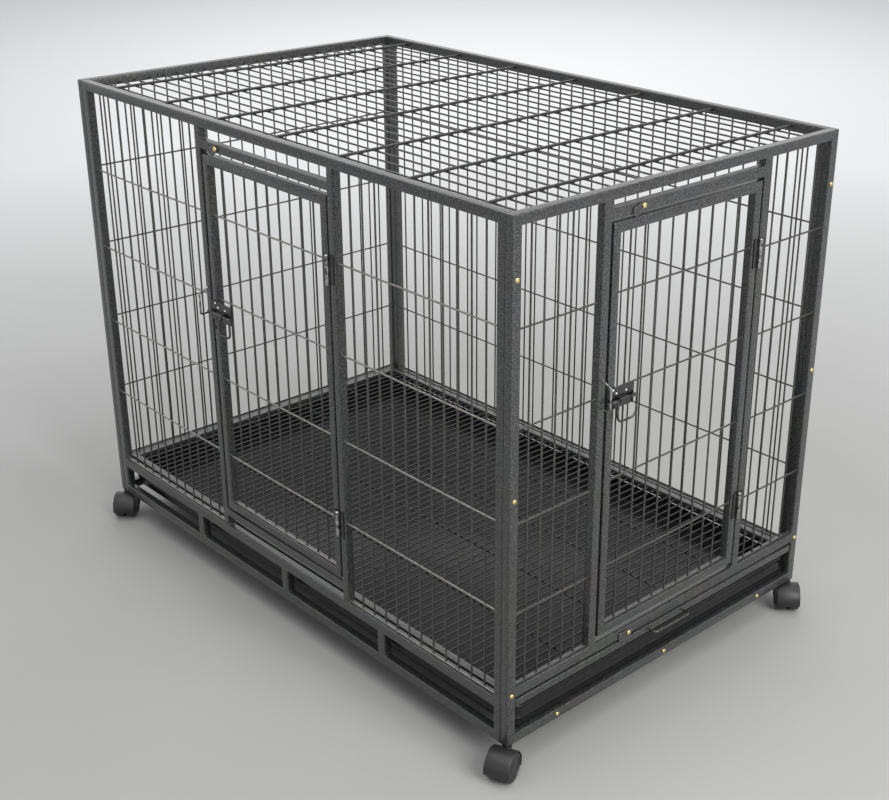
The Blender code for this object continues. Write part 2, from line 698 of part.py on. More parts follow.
def make_grate():
    """The floor grate, its wire handle, and the two angle runners that carry it."""
    half_width = WIDTH / 2 - TUBE - GRATE_SIDE_GAP
    back = -LENGTH / 2 + TUBE + GRATE_END_GAP
    front = LENGTH / 2 - GRATE_END_GAP
    middle_z = GRATE_TOP_Z - SLIM / 2
    slab = boxes("floor_grate", [((back, -half_width, -SLIM / 2), (front, half_width, SLIM / 2))])
    window = ((back + SLIM, SLIM - half_width, -SLIM), (front - SLIM, half_width - SLIM, SLIM))
    frame = rounded_edges(cut(slab, boxes("grate_window", [window])), TUBE_EDGE)
    reach = half_width - SLIM + WIRE_ROOT
    lines = [[(x, -reach, LAYER), (x, reach, LAYER)] for x in between(back + SLIM, front - SLIM, GRATE_PITCH)]
    first = GRATE_LONG_INSET - half_width
    for i in range(GRATE_LONG_COUNT):
        y = first + (-2 * first) * i / (GRATE_LONG_COUNT - 1)
        lines.append([(back + SLIM - WIRE_ROOT, y, -LAYER), (front - SLIM + WIRE_ROOT, y, -LAYER)])
    keep(weld(frame, wires("grate_wires", lines, WIRE_RADIUS)), COATED, None, (0.0, 0.0, middle_z))

    root = front + SEAM
    reach = root + GRATE_HANDLE_REACH
    side = GRATE_HANDLE_WIDTH / 2
    corners = [(root, -side, 0.0), (reach, -side, 0.0), (reach, side, 0.0), (root, side, 0.0)]
    path = bent(corners, GRATE_HANDLE_BEND)
    keep(wires("grate_handle", [path], GRATE_HANDLE_WIRE / 2, 2), COATED, None, (0.0, 0.0, middle_z))

    length = LENGTH - 2 * (TUBE + SEAM)
    top = GRATE_TOP_Z - SLIM - SEAM
    outer = WIDTH / 2 - TUBE - SEAM
    for name, side in (("front_runner", -1), ("back_runner", 1)):
        edge = [
            (outer, top),
            (outer - RUNNER_LEDGE, top),
            (outer - RUNNER_LEDGE, top - RUNNER_THICK),
            (outer - RUNNER_THICK, top - RUNNER_THICK),
            (outer - RUNNER_THICK, top - RUNNER_DROP),
            (outer, top - RUNNER_DROP),
        ]
        loop = [(side * y, z) for y, z in edge]
        keep(flat_outline(name, [loop], length, ALONG_X), COATED)


def make_tray():
    """The tray, a swept wall with a bead and a lip round a flat floor, and the bars that it rests on."""
    back = -LENGTH / 2 + TUBE + TRAY_BACK_GAP
    front = LENGTH / 2 - TRAY_FRONT_GAP
    half = WIDTH / 2 - TUBE - TRAY_SIDE_GAP
    wall = TRAY_WALL
    chamfer = TRAY_CHAMFER
    outer = [
        (-chamfer, 0.0),
        (0.0, chamfer),
        (0.0, TRAY_BEAD_Z - TRAY_BEAD),
        (TRAY_BEAD, TRAY_BEAD_Z),
        (0.0, TRAY_BEAD_Z + TRAY_BEAD),
        (0.0, TRAY_HEIGHT - TRAY_LIP_HEIGHT - TRAY_LIP),
        (TRAY_LIP, TRAY_HEIGHT - TRAY_LIP_HEIGHT),
        (TRAY_LIP, TRAY_HEIGHT),
        (-wall, TRAY_HEIGHT),
        (-wall, wall),
        (-wall - chamfer, wall),
        (-wall - chamfer, 0.0),
    ]
    section = bpy.data.curves.new("tray_section", "CURVE")
    section.dimensions = "2D"
    spline = section.splines.new("POLY")
    spline.points.add(len(outer) - 1)
    for point, (out, z) in zip(spline.points, outer):
        point.co = (TRAY_LIP - out, z, 0.0, 1.0)
    spline.use_cyclic_u = True
    section_object = bpy.data.objects.new("tray_section", section)
    TOOLS.objects.link(section_object)
    section_object.hide_render = True
    section_object.display_type = "WIRE"

    path = bent_loop(rectangle(back, front, -half, half), TRAY_CORNER, BEND_STEPS)
    curve = bpy.data.curves.new("tray", "CURVE")
    curve.dimensions = "2D"
    curve.fill_mode = "NONE"
    curve.bevel_mode = "OBJECT"
    curve.bevel_object = section_object
    spline = curve.splines.new("POLY")
    spline.points.add(len(path) - 1)
    for point, (x, y) in zip(spline.points, path):
        point.co = (x, y, 0.0, 1.0)
    spline.use_cyclic_u = True
    sweep = bpy.data.objects.new("tray", curve)
    CAGE.objects.link(sweep)
    sweep = baked(sweep)
    bpy.data.objects.remove(section_object, do_unlink=True)
    inset = TRAY_LIP + wall + chamfer / 2
    inside = rectangle(back + inset, front - inset, -half + inset, half - inset)
    floor_loop = bent_loop(inside, TRAY_CORNER - inset / 2)
    floor = flat_outline("tray_floor", [floor_loop], wall, Matrix.Translation((0.0, 0.0, wall / 2)))
    keep(weld(sweep, floor), TRAY_BLACK, None, (0.0, 0.0, RAIL + SEAM))

    end = LENGTH / 2 - TUBE - SEAM
    outermost = half - TRAY_BAR_INSET
    for place, y in (("front", -outermost), ("middle", 0.0), ("back", outermost)):
        bar = boxes(place + "_tray_bar", [((-end, -SLIM / 2, 0.0), (end, SLIM / 2, RAIL))])
        keep(rounded_edges(bar, TUBE_EDGE), COATED, None, (0.0, y, 0.0))


def make_castor(name, x, y, turn):
    """A hooded twin-wheel castor: stem in the post, hood on the swivel, axle, and two wheels on the axle."""
    swivel = make_empty(name + "_swivel_axis", (x, y, 0.0), turn)
    axle_z = WHEEL_RADIUS - CASTOR_HEIGHT
    stem = turned(name + "_stem", [
        (0.0, -SEAM),
        (COLLAR_RADIUS, -SEAM),
        (COLLAR_RADIUS, -COLLAR_HEIGHT),
        (STEM_RADIUS, -COLLAR_HEIGHT),
        (STEM_RADIUS, -COLLAR_HEIGHT - STEM_DEPTH),
        (0.0, -COLLAR_HEIGHT - STEM_DEPTH),
    ], FINE_STEPS)
    keep(stem, PLASTIC, None, (x, y, 0.0))

    trail = (0.0, -CASTOR_TRAIL, axle_z)
    inner = WHEEL_RADIUS + HOOD_CLEARANCE
    outer = inner + HOOD_WALL
    start, end = HOOD_ARC
    width = CASTOR_WEB + 2 * (WHEEL_WIDTH + AXLE_CLEARANCE)
    place = Matrix.Translation(trail) @ ALONG_X
    arc = circle_points(outer, ROUND_STEPS, start=start, end=end)
    arc += circle_points(inner, ROUND_STEPS, start=end, end=start)
    hood = flat_outline(name + "_hood", [arc], width, place)
    web = circle_points((inner + outer) / 2, ROUND_STEPS, start=start, end=end)
    bore = bore_radius(AXLE_RADIUS, AXLE_CLEARANCE)
    hole = circle_points(bore, FINE_STEPS)
    hood = weld(hood, flat_outline(name + "_web", [web, hole], CASTOR_WEB, place))
    boss_top = -COLLAR_HEIGHT - SEAM
    boss = cylinder(name + "_boss", BOSS_RADIUS, axle_z + BOSS_LIFT, boss_top, FINE_STEPS)
    for side in (-1, 1):
        inside = side * (CASTOR_WEB / 2 - SEAM)
        outside = side * (width / 2 + WHEEL_EDGE)
        low, high = sorted((inside, outside))
        room = cylinder(name + "_wheel_room", inner + HOOD_WALL / 2, low, high, ROUND_STEPS * 2, place)
        boss = cut(boss, room)
    hood = weld(hood, boss)
    socket_floor = -COLLAR_HEIGHT - STEM_DEPTH - SEAM
    socket_radius = bore_radius(STEM_RADIUS, STEM_CLEARANCE)
    socket = cylinder(name + "_socket", socket_radius, socket_floor, 0.0, FINE_STEPS)
    hood = cut(hood, socket)
    keep(hood, PLASTIC, swivel)

    axle_half = width / 2 - WHEEL_DISH - WHEEL_EDGE / 2
    sideways = Matrix.Rotation(math.radians(90), 4, "Y")
    axle = cylinder(name + "_axle", AXLE_RADIUS, -axle_half, axle_half, FINE_STEPS, sideways)
    keep(axle, ZINC, swivel, trail)

    for side_name, side in (("inner", -1), ("outer", 1)):
        face = CASTOR_WEB / 2 + AXLE_CLEARANCE
        bore = bore_radius(AXLE_RADIUS, AXLE_CLEARANCE, ROUND_STEPS)
        profile = [
            (bore, face + WHEEL_WIDTH - WHEEL_DISH),
            (WHEEL_DISH_RADIUS, face + WHEEL_WIDTH - WHEEL_DISH),
            (WHEEL_RIM_RADIUS, face + WHEEL_WIDTH),
            (WHEEL_RADIUS - WHEEL_EDGE, face + WHEEL_WIDTH),
            (WHEEL_RADIUS, face + WHEEL_WIDTH - WHEEL_EDGE),
            (WHEEL_RADIUS, face),
            (bore, face),
            (bore, face + WHEEL_WIDTH - WHEEL_DISH),
        ]
        wheel = turned(name + "_" + side_name + "_wheel", profile, ROUND_STEPS)
        wheel.data.transform(Matrix.Rotation(math.radians(90 * side), 4, "Y"))
        keep(wheel, PLASTIC, swivel, trail)


def make_castors():
    x = LENGTH / 2 - TUBE_MIDDLE
    y = WIDTH / 2 - TUBE_MIDDLE
    corners = {"near_left": (x, -y), "near_right": (x, y), "far_left": (-x, -y), "far_right": (-x, y)}
    for name, (cx, cy) in corners.items():
        make_castor(name + "_castor", cx, cy, CASTOR_TURNS[name])


make_side_panels()
make_end_panels()
make_top_grid()
make_door("front_door", FRONT_FACE, SLIM, FRONT_SILL_Z + SLIM + FRONT_FOOT_GAP,
          FRONT_HEADER_Z - FRONT_HEAD_GAP, 0.0, HEIGHT / 2 + FRONT_LATCH_LIFT,
          {"upper": FRONT_HEADER_Z - FRONT_HINGE_DROP, "lower": FRONT_SILL_Z + FRONT_HINGE_LIFT})
make_door("end_door", DOOR_END_FACE, TUBE, END_RAIL_TOP + END_FOOT_GAP, END_HEADER_Z - END_HEAD_GAP,
          END_MESH_LIFT, HEIGHT / 2 + END_LATCH_LIFT,
          {"upper": END_HEADER_Z - END_HINGE_DROP, "lower": END_RAIL_TOP + END_HINGE_LIFT})
make_button("front", FRONT_FACE, FRONT_BUTTON_INSET - DOOR_BAY / 2, FRONT_HEADER_Z + SLIM / 2,
            FRONT_BUTTON_TURN)
make_button("end", DOOR_END_FACE, END_BUTTON_INSET - DOOR_BAY / 2, END_HEADER_Z + RAIL - SLIM / 2,
            END_BUTTON_TURN)
make_button("grate", DOOR_END_FACE, GRATE_BUTTON_INSET - DOOR_BAY / 2, END_RAIL_Z + BUTTON_EYE_RADIUS,
            GRATE_BUTTON_TURN)
make_grate()
make_tray()
make_castors()
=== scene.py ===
# %% [markdown]
# A rolling pet cage: welded panels of square tube and round wire, two hinged doors, a floor grate, a tray and
# four castors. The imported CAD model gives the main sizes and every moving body. This lesson dresses it: most
# pieces are made again with rounder wires and edges, and ride on the body of the CAD piece that they stand
# for.

# %% Load the frame
import json
import math
import random
from types import SimpleNamespace

import bmesh
import bpy
from mathutils import Matrix, Vector


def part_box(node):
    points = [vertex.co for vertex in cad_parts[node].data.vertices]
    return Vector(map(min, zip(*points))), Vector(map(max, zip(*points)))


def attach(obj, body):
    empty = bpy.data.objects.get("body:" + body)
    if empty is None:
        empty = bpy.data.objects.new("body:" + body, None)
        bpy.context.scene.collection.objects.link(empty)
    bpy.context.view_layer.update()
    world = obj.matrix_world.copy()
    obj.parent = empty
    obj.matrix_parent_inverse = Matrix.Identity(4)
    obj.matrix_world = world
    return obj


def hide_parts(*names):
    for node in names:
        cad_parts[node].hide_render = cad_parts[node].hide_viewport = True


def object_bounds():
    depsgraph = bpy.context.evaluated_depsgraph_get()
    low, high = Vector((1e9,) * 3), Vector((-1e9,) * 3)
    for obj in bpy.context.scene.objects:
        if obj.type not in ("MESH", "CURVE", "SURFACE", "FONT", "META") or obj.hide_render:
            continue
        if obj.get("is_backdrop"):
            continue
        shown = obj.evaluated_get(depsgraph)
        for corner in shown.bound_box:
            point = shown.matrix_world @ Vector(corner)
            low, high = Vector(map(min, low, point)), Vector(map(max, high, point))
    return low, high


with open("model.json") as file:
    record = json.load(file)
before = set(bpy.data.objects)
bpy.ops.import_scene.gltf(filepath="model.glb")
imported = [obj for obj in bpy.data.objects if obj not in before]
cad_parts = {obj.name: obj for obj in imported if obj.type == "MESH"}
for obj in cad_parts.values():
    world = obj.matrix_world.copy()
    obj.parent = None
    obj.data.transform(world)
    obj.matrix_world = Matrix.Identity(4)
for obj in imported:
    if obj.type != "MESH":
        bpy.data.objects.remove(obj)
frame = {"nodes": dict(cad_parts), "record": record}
scene = bpy.context.scene
CAD_LOW, CAD_HIGH = (list(corner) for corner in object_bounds())
print("CAD box", [round(value, 4) for value in CAD_LOW + CAD_HIGH])

# %% [markdown]
# The camera. A box of the cage's size was fitted to the photograph's corners, which gives the camera's place,
# its direction and its focal length in pixels. The picture's optical centre is a little right of its middle,
# because the photograph was trimmed, so the camera has a small shift.

# %% Camera
PICTURE = (889, 800)
OPTICAL_CENTRE = (505.0, 385.0)
FOCAL_PIXELS = 1418.1
CAMERA_PLACE = Vector((1.7528, -1.5102, 1.3021))
AZIMUTH, ELEVATION, ROLL = (math.radians(angle) for angle in (46.288, 23.502, 0.598))

back = Vector((math.sin(AZIMUTH) * math.cos(ELEVATION), -math.cos(AZIMUTH) * math.cos(ELEVATION),
               math.sin(ELEVATION)))
level = (-back).cross(Vector((0.0, 0.0, 1.0))).normalized()
up = level.cross(-back)
right = math.cos(ROLL) * level + math.sin(ROLL) * up
up = math.cos(ROLL) * up - math.sin(ROLL) * level
camera_data = bpy.data.cameras.new("photo_camera")
camera_data.sensor_width = 36.0
camera_data.lens = FOCAL_PIXELS / PICTURE[0] * camera_data.sensor_width
camera_data.shift_x = (PICTURE[0] / 2 - OPTICAL_CENTRE[0]) / PICTURE[0]
camera_data.shift_y = (OPTICAL_CENTRE[1] - PICTURE[1] / 2) / PICTURE[0]
camera = bpy.data.objects.new("photo_camera", camera_data)
camera.matrix_world = Matrix.Translation(CAMERA_PLACE) @ Matrix((right, up, back)).transposed().to_4x4()
scene.collection.objects.link(camera)
scene.camera = camera
scene.view_settings.view_transform = "Standard"
print("lens", round(camera_data.lens, 2))
print("shift", round(camera_data.shift_x, 3), round(camera_data.shift_y, 3))

# %% [markdown]
# Each finish is a tree of nodes, and so is the world. Small helpers add a node with its values, link two
# nodes by the names of their sockets, and set both ends of a ramp.

# %% Nodes and materials


def tools_for(tree):
    """Ways to add a node to a tree, and to link two of its nodes."""
    def add(kind, **settings):
        node = tree.nodes.new(kind)
        for key, value in settings.items():
            if key in node.inputs:
                node.inputs[key].default_value = value
            else:
                setattr(node, key, value)
        return node

    def link(node, out, other, into):
        tree.links.new(node.outputs[out], other.inputs[into])

    return add, link


def node_material(name):
    """A material with its shader, and the ways to add and link its nodes."""
    material = bpy.data.materials.new(name)
    material.use_nodes = True
    return material, material.node_tree.nodes["Principled BSDF"], *tools_for(material.node_tree)


def set_ramp(ramp, *ends):
    """Sets the position and the colour of both ends of a colour ramp."""
    for element, (position, colour) in zip(ramp.color_ramp.elements, ends):
        element.position = position
        element.color = (*colour, 1.0)


print("materials so far", len(bpy.data.materials))

# %% [markdown]
# The floor is a large plane of slightly clouded grey. It grows paler with distance, so that the wires stand
# out against it. It belongs to the stage and not to the cage.

# %% Floor
FLOOR_Z = CAD_LOW[2]
FLOOR_HALF = 14.0
PALE_FROM, PALE_TO = 0.9, 3.2


def pale_floor():
    """Clouded grey near the middle that turns pale between two distances."""
    material, shader, add, link = node_material("pale_floor")
    place = add("ShaderNodeTexCoord")
    clouds = add("ShaderNodeTexNoise", Scale=1.7, Detail=5.0)
    tones = add("ShaderNodeValToRGB")
    set_ramp(tones, (0.0, (0.43, 0.427, 0.415)), (1.0, (0.52, 0.517, 0.505)))
    away = add("ShaderNodeVectorMath", operation="LENGTH")
    far = add("ShaderNodeMapRange")
    far.inputs["From Min"].default_value = PALE_FROM
    far.inputs["From Max"].default_value = PALE_TO
    pale = add("ShaderNodeMix", data_type="RGBA")
    pale.inputs["B"].default_value = (0.97, 0.97, 0.97, 1.0)
    link(place, "Object", clouds, "Vector")
    link(clouds, "Fac", tones, "Fac")
    link(place, "Object", away, 0)
    link(away, "Value", far, "Value")
    link(far, "Result", pale, "Factor")
    link(tones, "Color", pale, "A")
    link(pale, "Result", shader, "Base Color")
    shader.inputs["Roughness"].default_value = 0.7
    return material


floor_mesh = bpy.data.meshes.new("floor")
floor_mesh.from_pydata([(-FLOOR_HALF, -FLOOR_HALF, 0), (FLOOR_HALF, -FLOOR_HALF, 0),
                        (FLOOR_HALF, FLOOR_HALF, 0), (-FLOOR_HALF, FLOOR_HALF, 0)], [], [(0, 1, 2, 3)])
floor_mesh.materials.append(pale_floor())
floor = bpy.data.objects.new("floor", floor_mesh)
floor.location.z = FLOOR_Z
scene.collection.objects.link(floor)
floor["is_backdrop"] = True
print("floor at", round(FLOOR_Z, 4))

# %% [markdown]
# The light is soft, from wide square lamps: one overhead, as from a ceiling of tubes, and one at the door
# end, because the photograph's end faces are lighter than its long side. A third lights the floor behind the
# cage.

# %% Lamps


def soft_lamp(name, place, target, size, watts):
    """A square lamp at a place, aimed at a target."""
    data = bpy.data.lights.new(name, "AREA")
    data.shape = "SQUARE"
    data.size = size
    data.energy = watts
    lamp = bpy.data.objects.new(name, data)
    lamp.location = place
    lamp.rotation_euler = (Vector(target) - Vector(place)).to_track_quat("-Z", "Y").to_euler()
    scene.collection.objects.link(lamp)


soft_lamp("ceiling_lamp", (0.2, -0.4, 3.2), (0.0, 0.0, 0.0), 4.6, 74.0)
soft_lamp("door_end_lamp", (3.5, -0.2, 2.2), (0.4, 0.0, 0.4), 2.2, 92.0)
soft_lamp("background_lamp", (-3.4, 3.4, 3.6), (-4.6, 4.6, 0.0), 4.0, 106.0)
print("lamps", len(bpy.data.lights))

# %% [markdown]
# The world lights the cage with a dim, cool white. The camera, the reflections and the rays that pass through
# a surface see full white instead: a Light Path node tells the kinds of ray apart.

# %% World
world = bpy.data.worlds.new("pale_room")
world.use_nodes = True
scene.world = world
room = world.node_tree
ambient = room.nodes["Background"]
ambient.inputs["Color"].default_value = (0.93, 0.96, 1.0, 1.0)
ambient.inputs["Strength"].default_value = 0.30
add, link = tools_for(room)
seen = add("ShaderNodeBackground", Color=(1.0, 1.0, 1.0, 1.0))
rays = add("ShaderNodeLightPath")
camera_or_gloss = add("ShaderNodeMath", operation="MAXIMUM")
any_seen = add("ShaderNodeMath", operation="MAXIMUM")
choose = add("ShaderNodeMixShader")
link(rays, "Is Camera Ray", camera_or_gloss, 0)
link(rays, "Is Glossy Ray", camera_or_gloss, 1)
link(camera_or_gloss, 0, any_seen, 0)
link(rays, "Is Transmission Ray", any_seen, 1)
link(any_seen, 0, choose, "Fac")
link(ambient, 0, choose, 1)
link(seen, 0, choose, 2)
link(choose, 0, room.nodes["World Output"], "Surface")
print("world light", round(ambient.inputs["Strength"].default_value, 2))

# %% [markdown]
# The finishes. The tube and wire are powder coated in a charcoal hammertone: a dark, glossy skin with small
# dimples and silver flecks. Cells of a Voronoi texture give the dimples, and a finer noise breaks them up.
# The two together set the colour and the bump, so that each fleck lies in a dimple.

# %% Hammertone coat
DIMPLE_SCALE, WARP_SCALE, GRAIN_SCALE, BLOTCH_SCALE = 470.0, 260.0, 900.0, 14.0
WARP_REACH = 0.0015
GRAIN_SHARE = 0.55


def hammertone(name, dark, fleck, roughness, dimple_depth, metallic=0.35, coat=0.6):
    """A dimpled powder coat between a dark colour and the colour of its flecks."""
    material, shader, add, link = node_material(name)
    place = add("ShaderNodeTexCoord")
    warp = add("ShaderNodeTexNoise", Scale=WARP_SCALE, Detail=2.0)
    cells = add("ShaderNodeTexVoronoi", Scale=DIMPLE_SCALE, Randomness=1.0, feature="SMOOTH_F1")
    grain = add("ShaderNodeTexNoise", Scale=GRAIN_SCALE, Detail=2.0)
    blotch = add("ShaderNodeTexNoise", Scale=BLOTCH_SCALE, Detail=3.0)
    shift = add("ShaderNodeVectorMath", operation="MULTIPLY_ADD")
    shift.inputs[1].default_value = (WARP_REACH, WARP_REACH, WARP_REACH)
    link(place, "Object", warp, "Vector")
    link(warp, "Color", shift, 0)
    link(place, "Object", shift, 2)
    for texture in (cells, grain):
        link(shift, "Vector", texture, "Vector")
    link(place, "Object", blotch, "Vector")
    flecks = add("ShaderNodeValToRGB")
    set_ramp(flecks, (0.34, fleck), (0.80, dark))
    mix_grain = add("ShaderNodeMath", operation="MULTIPLY_ADD")
    mix_grain.inputs[1].default_value = GRAIN_SHARE
    link(grain, "Fac", mix_grain, 0)
    link(cells, "Distance", mix_grain, 2)
    link(mix_grain, 0, flecks, "Fac")
    tone = add("ShaderNodeMix", data_type="RGBA", blend_type="MULTIPLY")
    tone.inputs["Factor"].default_value = 0.35
    link(flecks, "Color", tone, "A")
    link(blotch, "Color", tone, "B")
    link(tone, "Result", shader, "Base Color")
    shine = add("ShaderNodeMapRange")
    shine.inputs["To Min"].default_value = roughness - 0.08
    shine.inputs["To Max"].default_value = roughness + 0.10
    link(grain, "Fac", shine, "Value")
    link(shine, "Result", shader, "Roughness")
    bump = add("ShaderNodeBump", Strength=0.55, Distance=dimple_depth)
    link(mix_grain, 0, bump, "Height")
    link(bump, "Normal", shader, "Normal")
    shader.inputs["Metallic"].default_value = metallic
    shader.inputs["Coat Weight"].default_value = coat
    shader.inputs["Coat Roughness"].default_value = 0.22
    return material


print("a dimple is about", round(1000 / DIMPLE_SCALE, 1), "mm wide")

# %% [markdown]
# The coats. The wires have the tubes' coat in other tones: it lies thinner on them. The level wires of the
# long side have a glossier, more metallic coat, and it is painted lighter as well: a painted highlight for the
# ceiling's light along them. The top's cross wires are painted darker: painted shade for the sides they show.
# The grate's wires and the hinges are darker.

# %% Coats of tube, wire and hinge
COAT = hammertone("charcoal_hammertone", (0.026, 0.027, 0.027), (0.150, 0.153, 0.150), 0.36, 0.0008)
# Level wires of the long side: the lighter tones are a painted highlight, laid on a glossy, metallic coat.
LEVEL_WIRE_PAINTED_HIGHLIGHT_COAT = hammertone("level_wire_painted_highlight_coat", (0.19, 0.184, 0.171), (0.44, 0.427, 0.40), 0.20, 0.0002,
                        metallic=0.7)
WIRE_COAT = hammertone("charcoal_wire_coat", (0.034, 0.033, 0.029), (0.13, 0.127, 0.115), 0.26, 0.0003)
GRATE_COAT = hammertone("floor_grate_wire_coat", (0.014, 0.014, 0.014), (0.055, 0.055, 0.054), 0.42, 0.0003,
                        coat=0.25)
# Top cross wires: the near-black tones are painted shade for the sides they show, not a black wire.
CROSS_WIRE_PAINTED_SHADE_COAT = hammertone("cross_wire_painted_shade_coat", (0.008, 0.008, 0.008), (0.030, 0.030, 0.030), 0.45, 0.0003)
HINGE_COAT = hammertone("black_hinge_coat", (0.010, 0.010, 0.010), (0.040, 0.040, 0.041), 0.28, 0.0003)
print("materials so far", len(bpy.data.materials))

# %% [markdown]
# Bare metal and plastic. The hinge pins and rivets are bright zinc. The bolts and keepers are coated steel
# whose coat is rubbed through in spots, and the screws have the yellow of chromate on zinc. The tray is a
# glossy black sheet, and the castors are moulded in black plastic with a fine grain that dulls them. One
# noise between two tones does for all: at this size the eye sees only how spotted and glossy each is.

# %% Zinc, screws, tray and castor plastic


def speckled(name, colours, metallic, roughness, scale, depth):
    """A finish that varies between two colours, with its gloss and bump from the same noise."""
    material, shader, add, link = node_material(name)
    place = add("ShaderNodeTexCoord")
    noise = add("ShaderNodeTexNoise", Scale=scale, Detail=4.0)
    link(place, "Object", noise, "Vector")
    tones = add("ShaderNodeValToRGB")
    set_ramp(tones, (0.35, colours[0]), (0.65, colours[1]))
    link(noise, "Fac", tones, "Fac")
    link(tones, "Color", shader, "Base Color")
    shine = add("ShaderNodeMapRange")
    shine.inputs["To Min"].default_value = roughness - 0.08
    shine.inputs["To Max"].default_value = roughness + 0.08
    link(noise, "Fac", shine, "Value")
    link(shine, "Result", shader, "Roughness")
    bump = add("ShaderNodeBump", Strength=0.4, Distance=depth)
    link(noise, "Fac", bump, "Height")
    link(bump, "Normal", shader, "Normal")
    shader.inputs["Metallic"].default_value = metallic
    return material


ZINC = speckled("bright_zinc", ((0.50, 0.51, 0.52), (0.72, 0.73, 0.73)), 1.0, 0.26, 500.0, 0.0001)
BOLT_STEEL = speckled("handled_bolt_steel", ((0.018, 0.018, 0.018), (0.15, 0.15, 0.148)), 0.8, 0.26, 180.0,
                      0.0001)
KEEPER_STEEL = speckled("keeper_steel", ((0.03, 0.03, 0.03), (0.45, 0.45, 0.44)), 0.9, 0.24, 150.0, 0.0001)
BRASS = speckled("yellow_zinc", ((0.50, 0.38, 0.14), (0.80, 0.68, 0.36)), 1.0, 0.25, 700.0, 0.0001)
TRAY_BLACK = speckled("glossy_black_tray", ((0.010, 0.010, 0.011), (0.018, 0.018, 0.019)), 0.0, 0.24, 160.0,
                      0.0004)
TRAY_BLACK.node_tree.nodes["Principled BSDF"].inputs["Specular IOR Level"].default_value = 0.22
CASTOR_BLACK = speckled("black_castor_plastic", ((0.013, 0.013, 0.014), (0.024, 0.024, 0.025)), 0.0, 0.42,
                        900.0, 0.0002)
print("materials so far", len(bpy.data.materials))

# %% [markdown]
# Every piece ends in the same way: its faces are turned outwards and shaded smooth, with its sharp edges
# kept. It is given a finish, and set to ride on a body of the CAD model, so that it moves with its joint.
# Most are a skin over rings of points, because a wire, a pin and a plate are all a closed loop carried along
# a line. Blender's curves could make the wires too, but a mesh has flat ends and a known count of faces.

# %% Arcs, skins and finished pieces
SHARP_ANGLE = 40.0


def arc(radius, start, sweep, steps, x=0.0, y=0.0):
    """Points on an arc about (x, y), from a start and through a sweep in degrees."""
    angles = [math.radians(start + sweep * i / steps) for i in range(steps + 1)]
    return [(x + radius * math.cos(a), y + radius * math.sin(a)) for a in angles]


def circle(sides):
    """The cosine and the sine of even steps round a circle."""
    return [(math.cos(a), math.sin(a)) for a in (2 * math.pi * i / sides for i in range(sides))]


def finish_piece(name, shape, material, body, stands_for=(),
                 sharp=SHARP_ANGLE):
    """Makes a piece of a drawn shape, gives it its finish, and lets it ride on a body."""
    mesh = bpy.data.meshes.new(name)
    bmesh.ops.recalc_face_normals(shape, faces=shape.faces)
    shape.to_mesh(mesh)
    shape.free()
    mesh.materials.append(material)
    mesh.shade_smooth()
    mesh.set_sharp_from_angle(angle=math.radians(sharp))
    piece = bpy.data.objects.new(name, mesh)
    scene.collection.objects.link(piece)
    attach(piece, body)
    if stands_for:
        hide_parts(*stands_for)
    return piece


def skin(shape, rings):
    """Joins rings of points, each with the same count, and caps both ends."""
    rows = [[shape.verts.new(point) for point in ring] for ring in rings]
    count = len(rows[0])
    for one, two in zip(rows, rows[1:]):
        for i in range(count):
            shape.faces.new((one[i], one[(i + 1) % count], two[(i + 1) % count], two[i]))
    shape.faces.new(rows[0])
    shape.faces.new(rows[-1])


# %% [markdown]
# Sizes. The main ones are read from the CAD's boxes, so that each piece stays where the CAD has it. The few
# that a box doesn't show are written here once, in metres. The tube comes in three widths: slim for the side
# door, its surround, the foot of both doors and the grate, middle for the posts of the side panels and the
# end door, and wide for the rails and the end posts. Panels and doors are as deep as the middle tube is wide.

# %% Sizes
end_low, end_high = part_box("door_end_panel")
LENGTH = end_high.x * 2
WIDTH = end_high.y * 2
HEIGHT = end_high.z
TUBE = end_high.x - end_low.x
SLIM = 0.0127
RAIL = 0.016
SEAM = 0.0003
WIRE_RADIUS = 0.0015
LAYER = 0.00165
ROOT = 0.003
SIDE_RAIL_Z = 0.0575
SIDE_RAIL_TOP = SIDE_RAIL_Z + RAIL
END_RAIL_Z = 0.0795
END_RAIL_TOP = END_RAIL_Z + RAIL
TOP_RAIL_Z = HEIGHT - RAIL
DOOR_HALF = 0.165
FRONT_MULLION_OUT = DOOR_HALF + SLIM
END_MULLION_OUT = DOOR_HALF + TUBE
FRONT_SILL_Z = 0.0943
FRONT_HEADER_Z = 0.7514
HEADER_SEAL = 0.0010
END_HEADER_Z = 0.7567
MESH_ROWS = 5
MESH_TOP_DROP = 0.0127
MESH_SPAN = HEIGHT - MESH_TOP_DROP - SIDE_RAIL_TOP
ROWS = [SIDE_RAIL_TOP + MESH_SPAN * i / MESH_ROWS for i in range(1, MESH_ROWS)]


def face(turn, x=0.0, y=0.0):
    """Stands a drawing of (x to the right, y inwards, z up) on one face of the cage."""
    return Matrix.Translation((x, y, 0.0)) @ Matrix.Rotation(math.radians(turn), 4, "Z")


FRONT = face(0, y=-WIDTH / 2)
BACK = face(180, y=WIDTH / 2)
DOOR_END = face(90, x=LENGTH / 2)
FAR_END = face(-90, x=-LENGTH / 2)
print("length, width, height", round(LENGTH, 4), round(WIDTH, 4), round(HEIGHT, 4))

# %% [markdown]
# A wire is a ring of points swept along a path. A spot weld is a small squashed ball. There are thousands of
# them, so each is only five rings, worked out once.

# %% Wire and weld
WIRE_SIDES = 12
BALL_SIDES = 8
BALL_HEIGHTS = (-0.95, -0.6, 0.0, 0.6, 0.95)


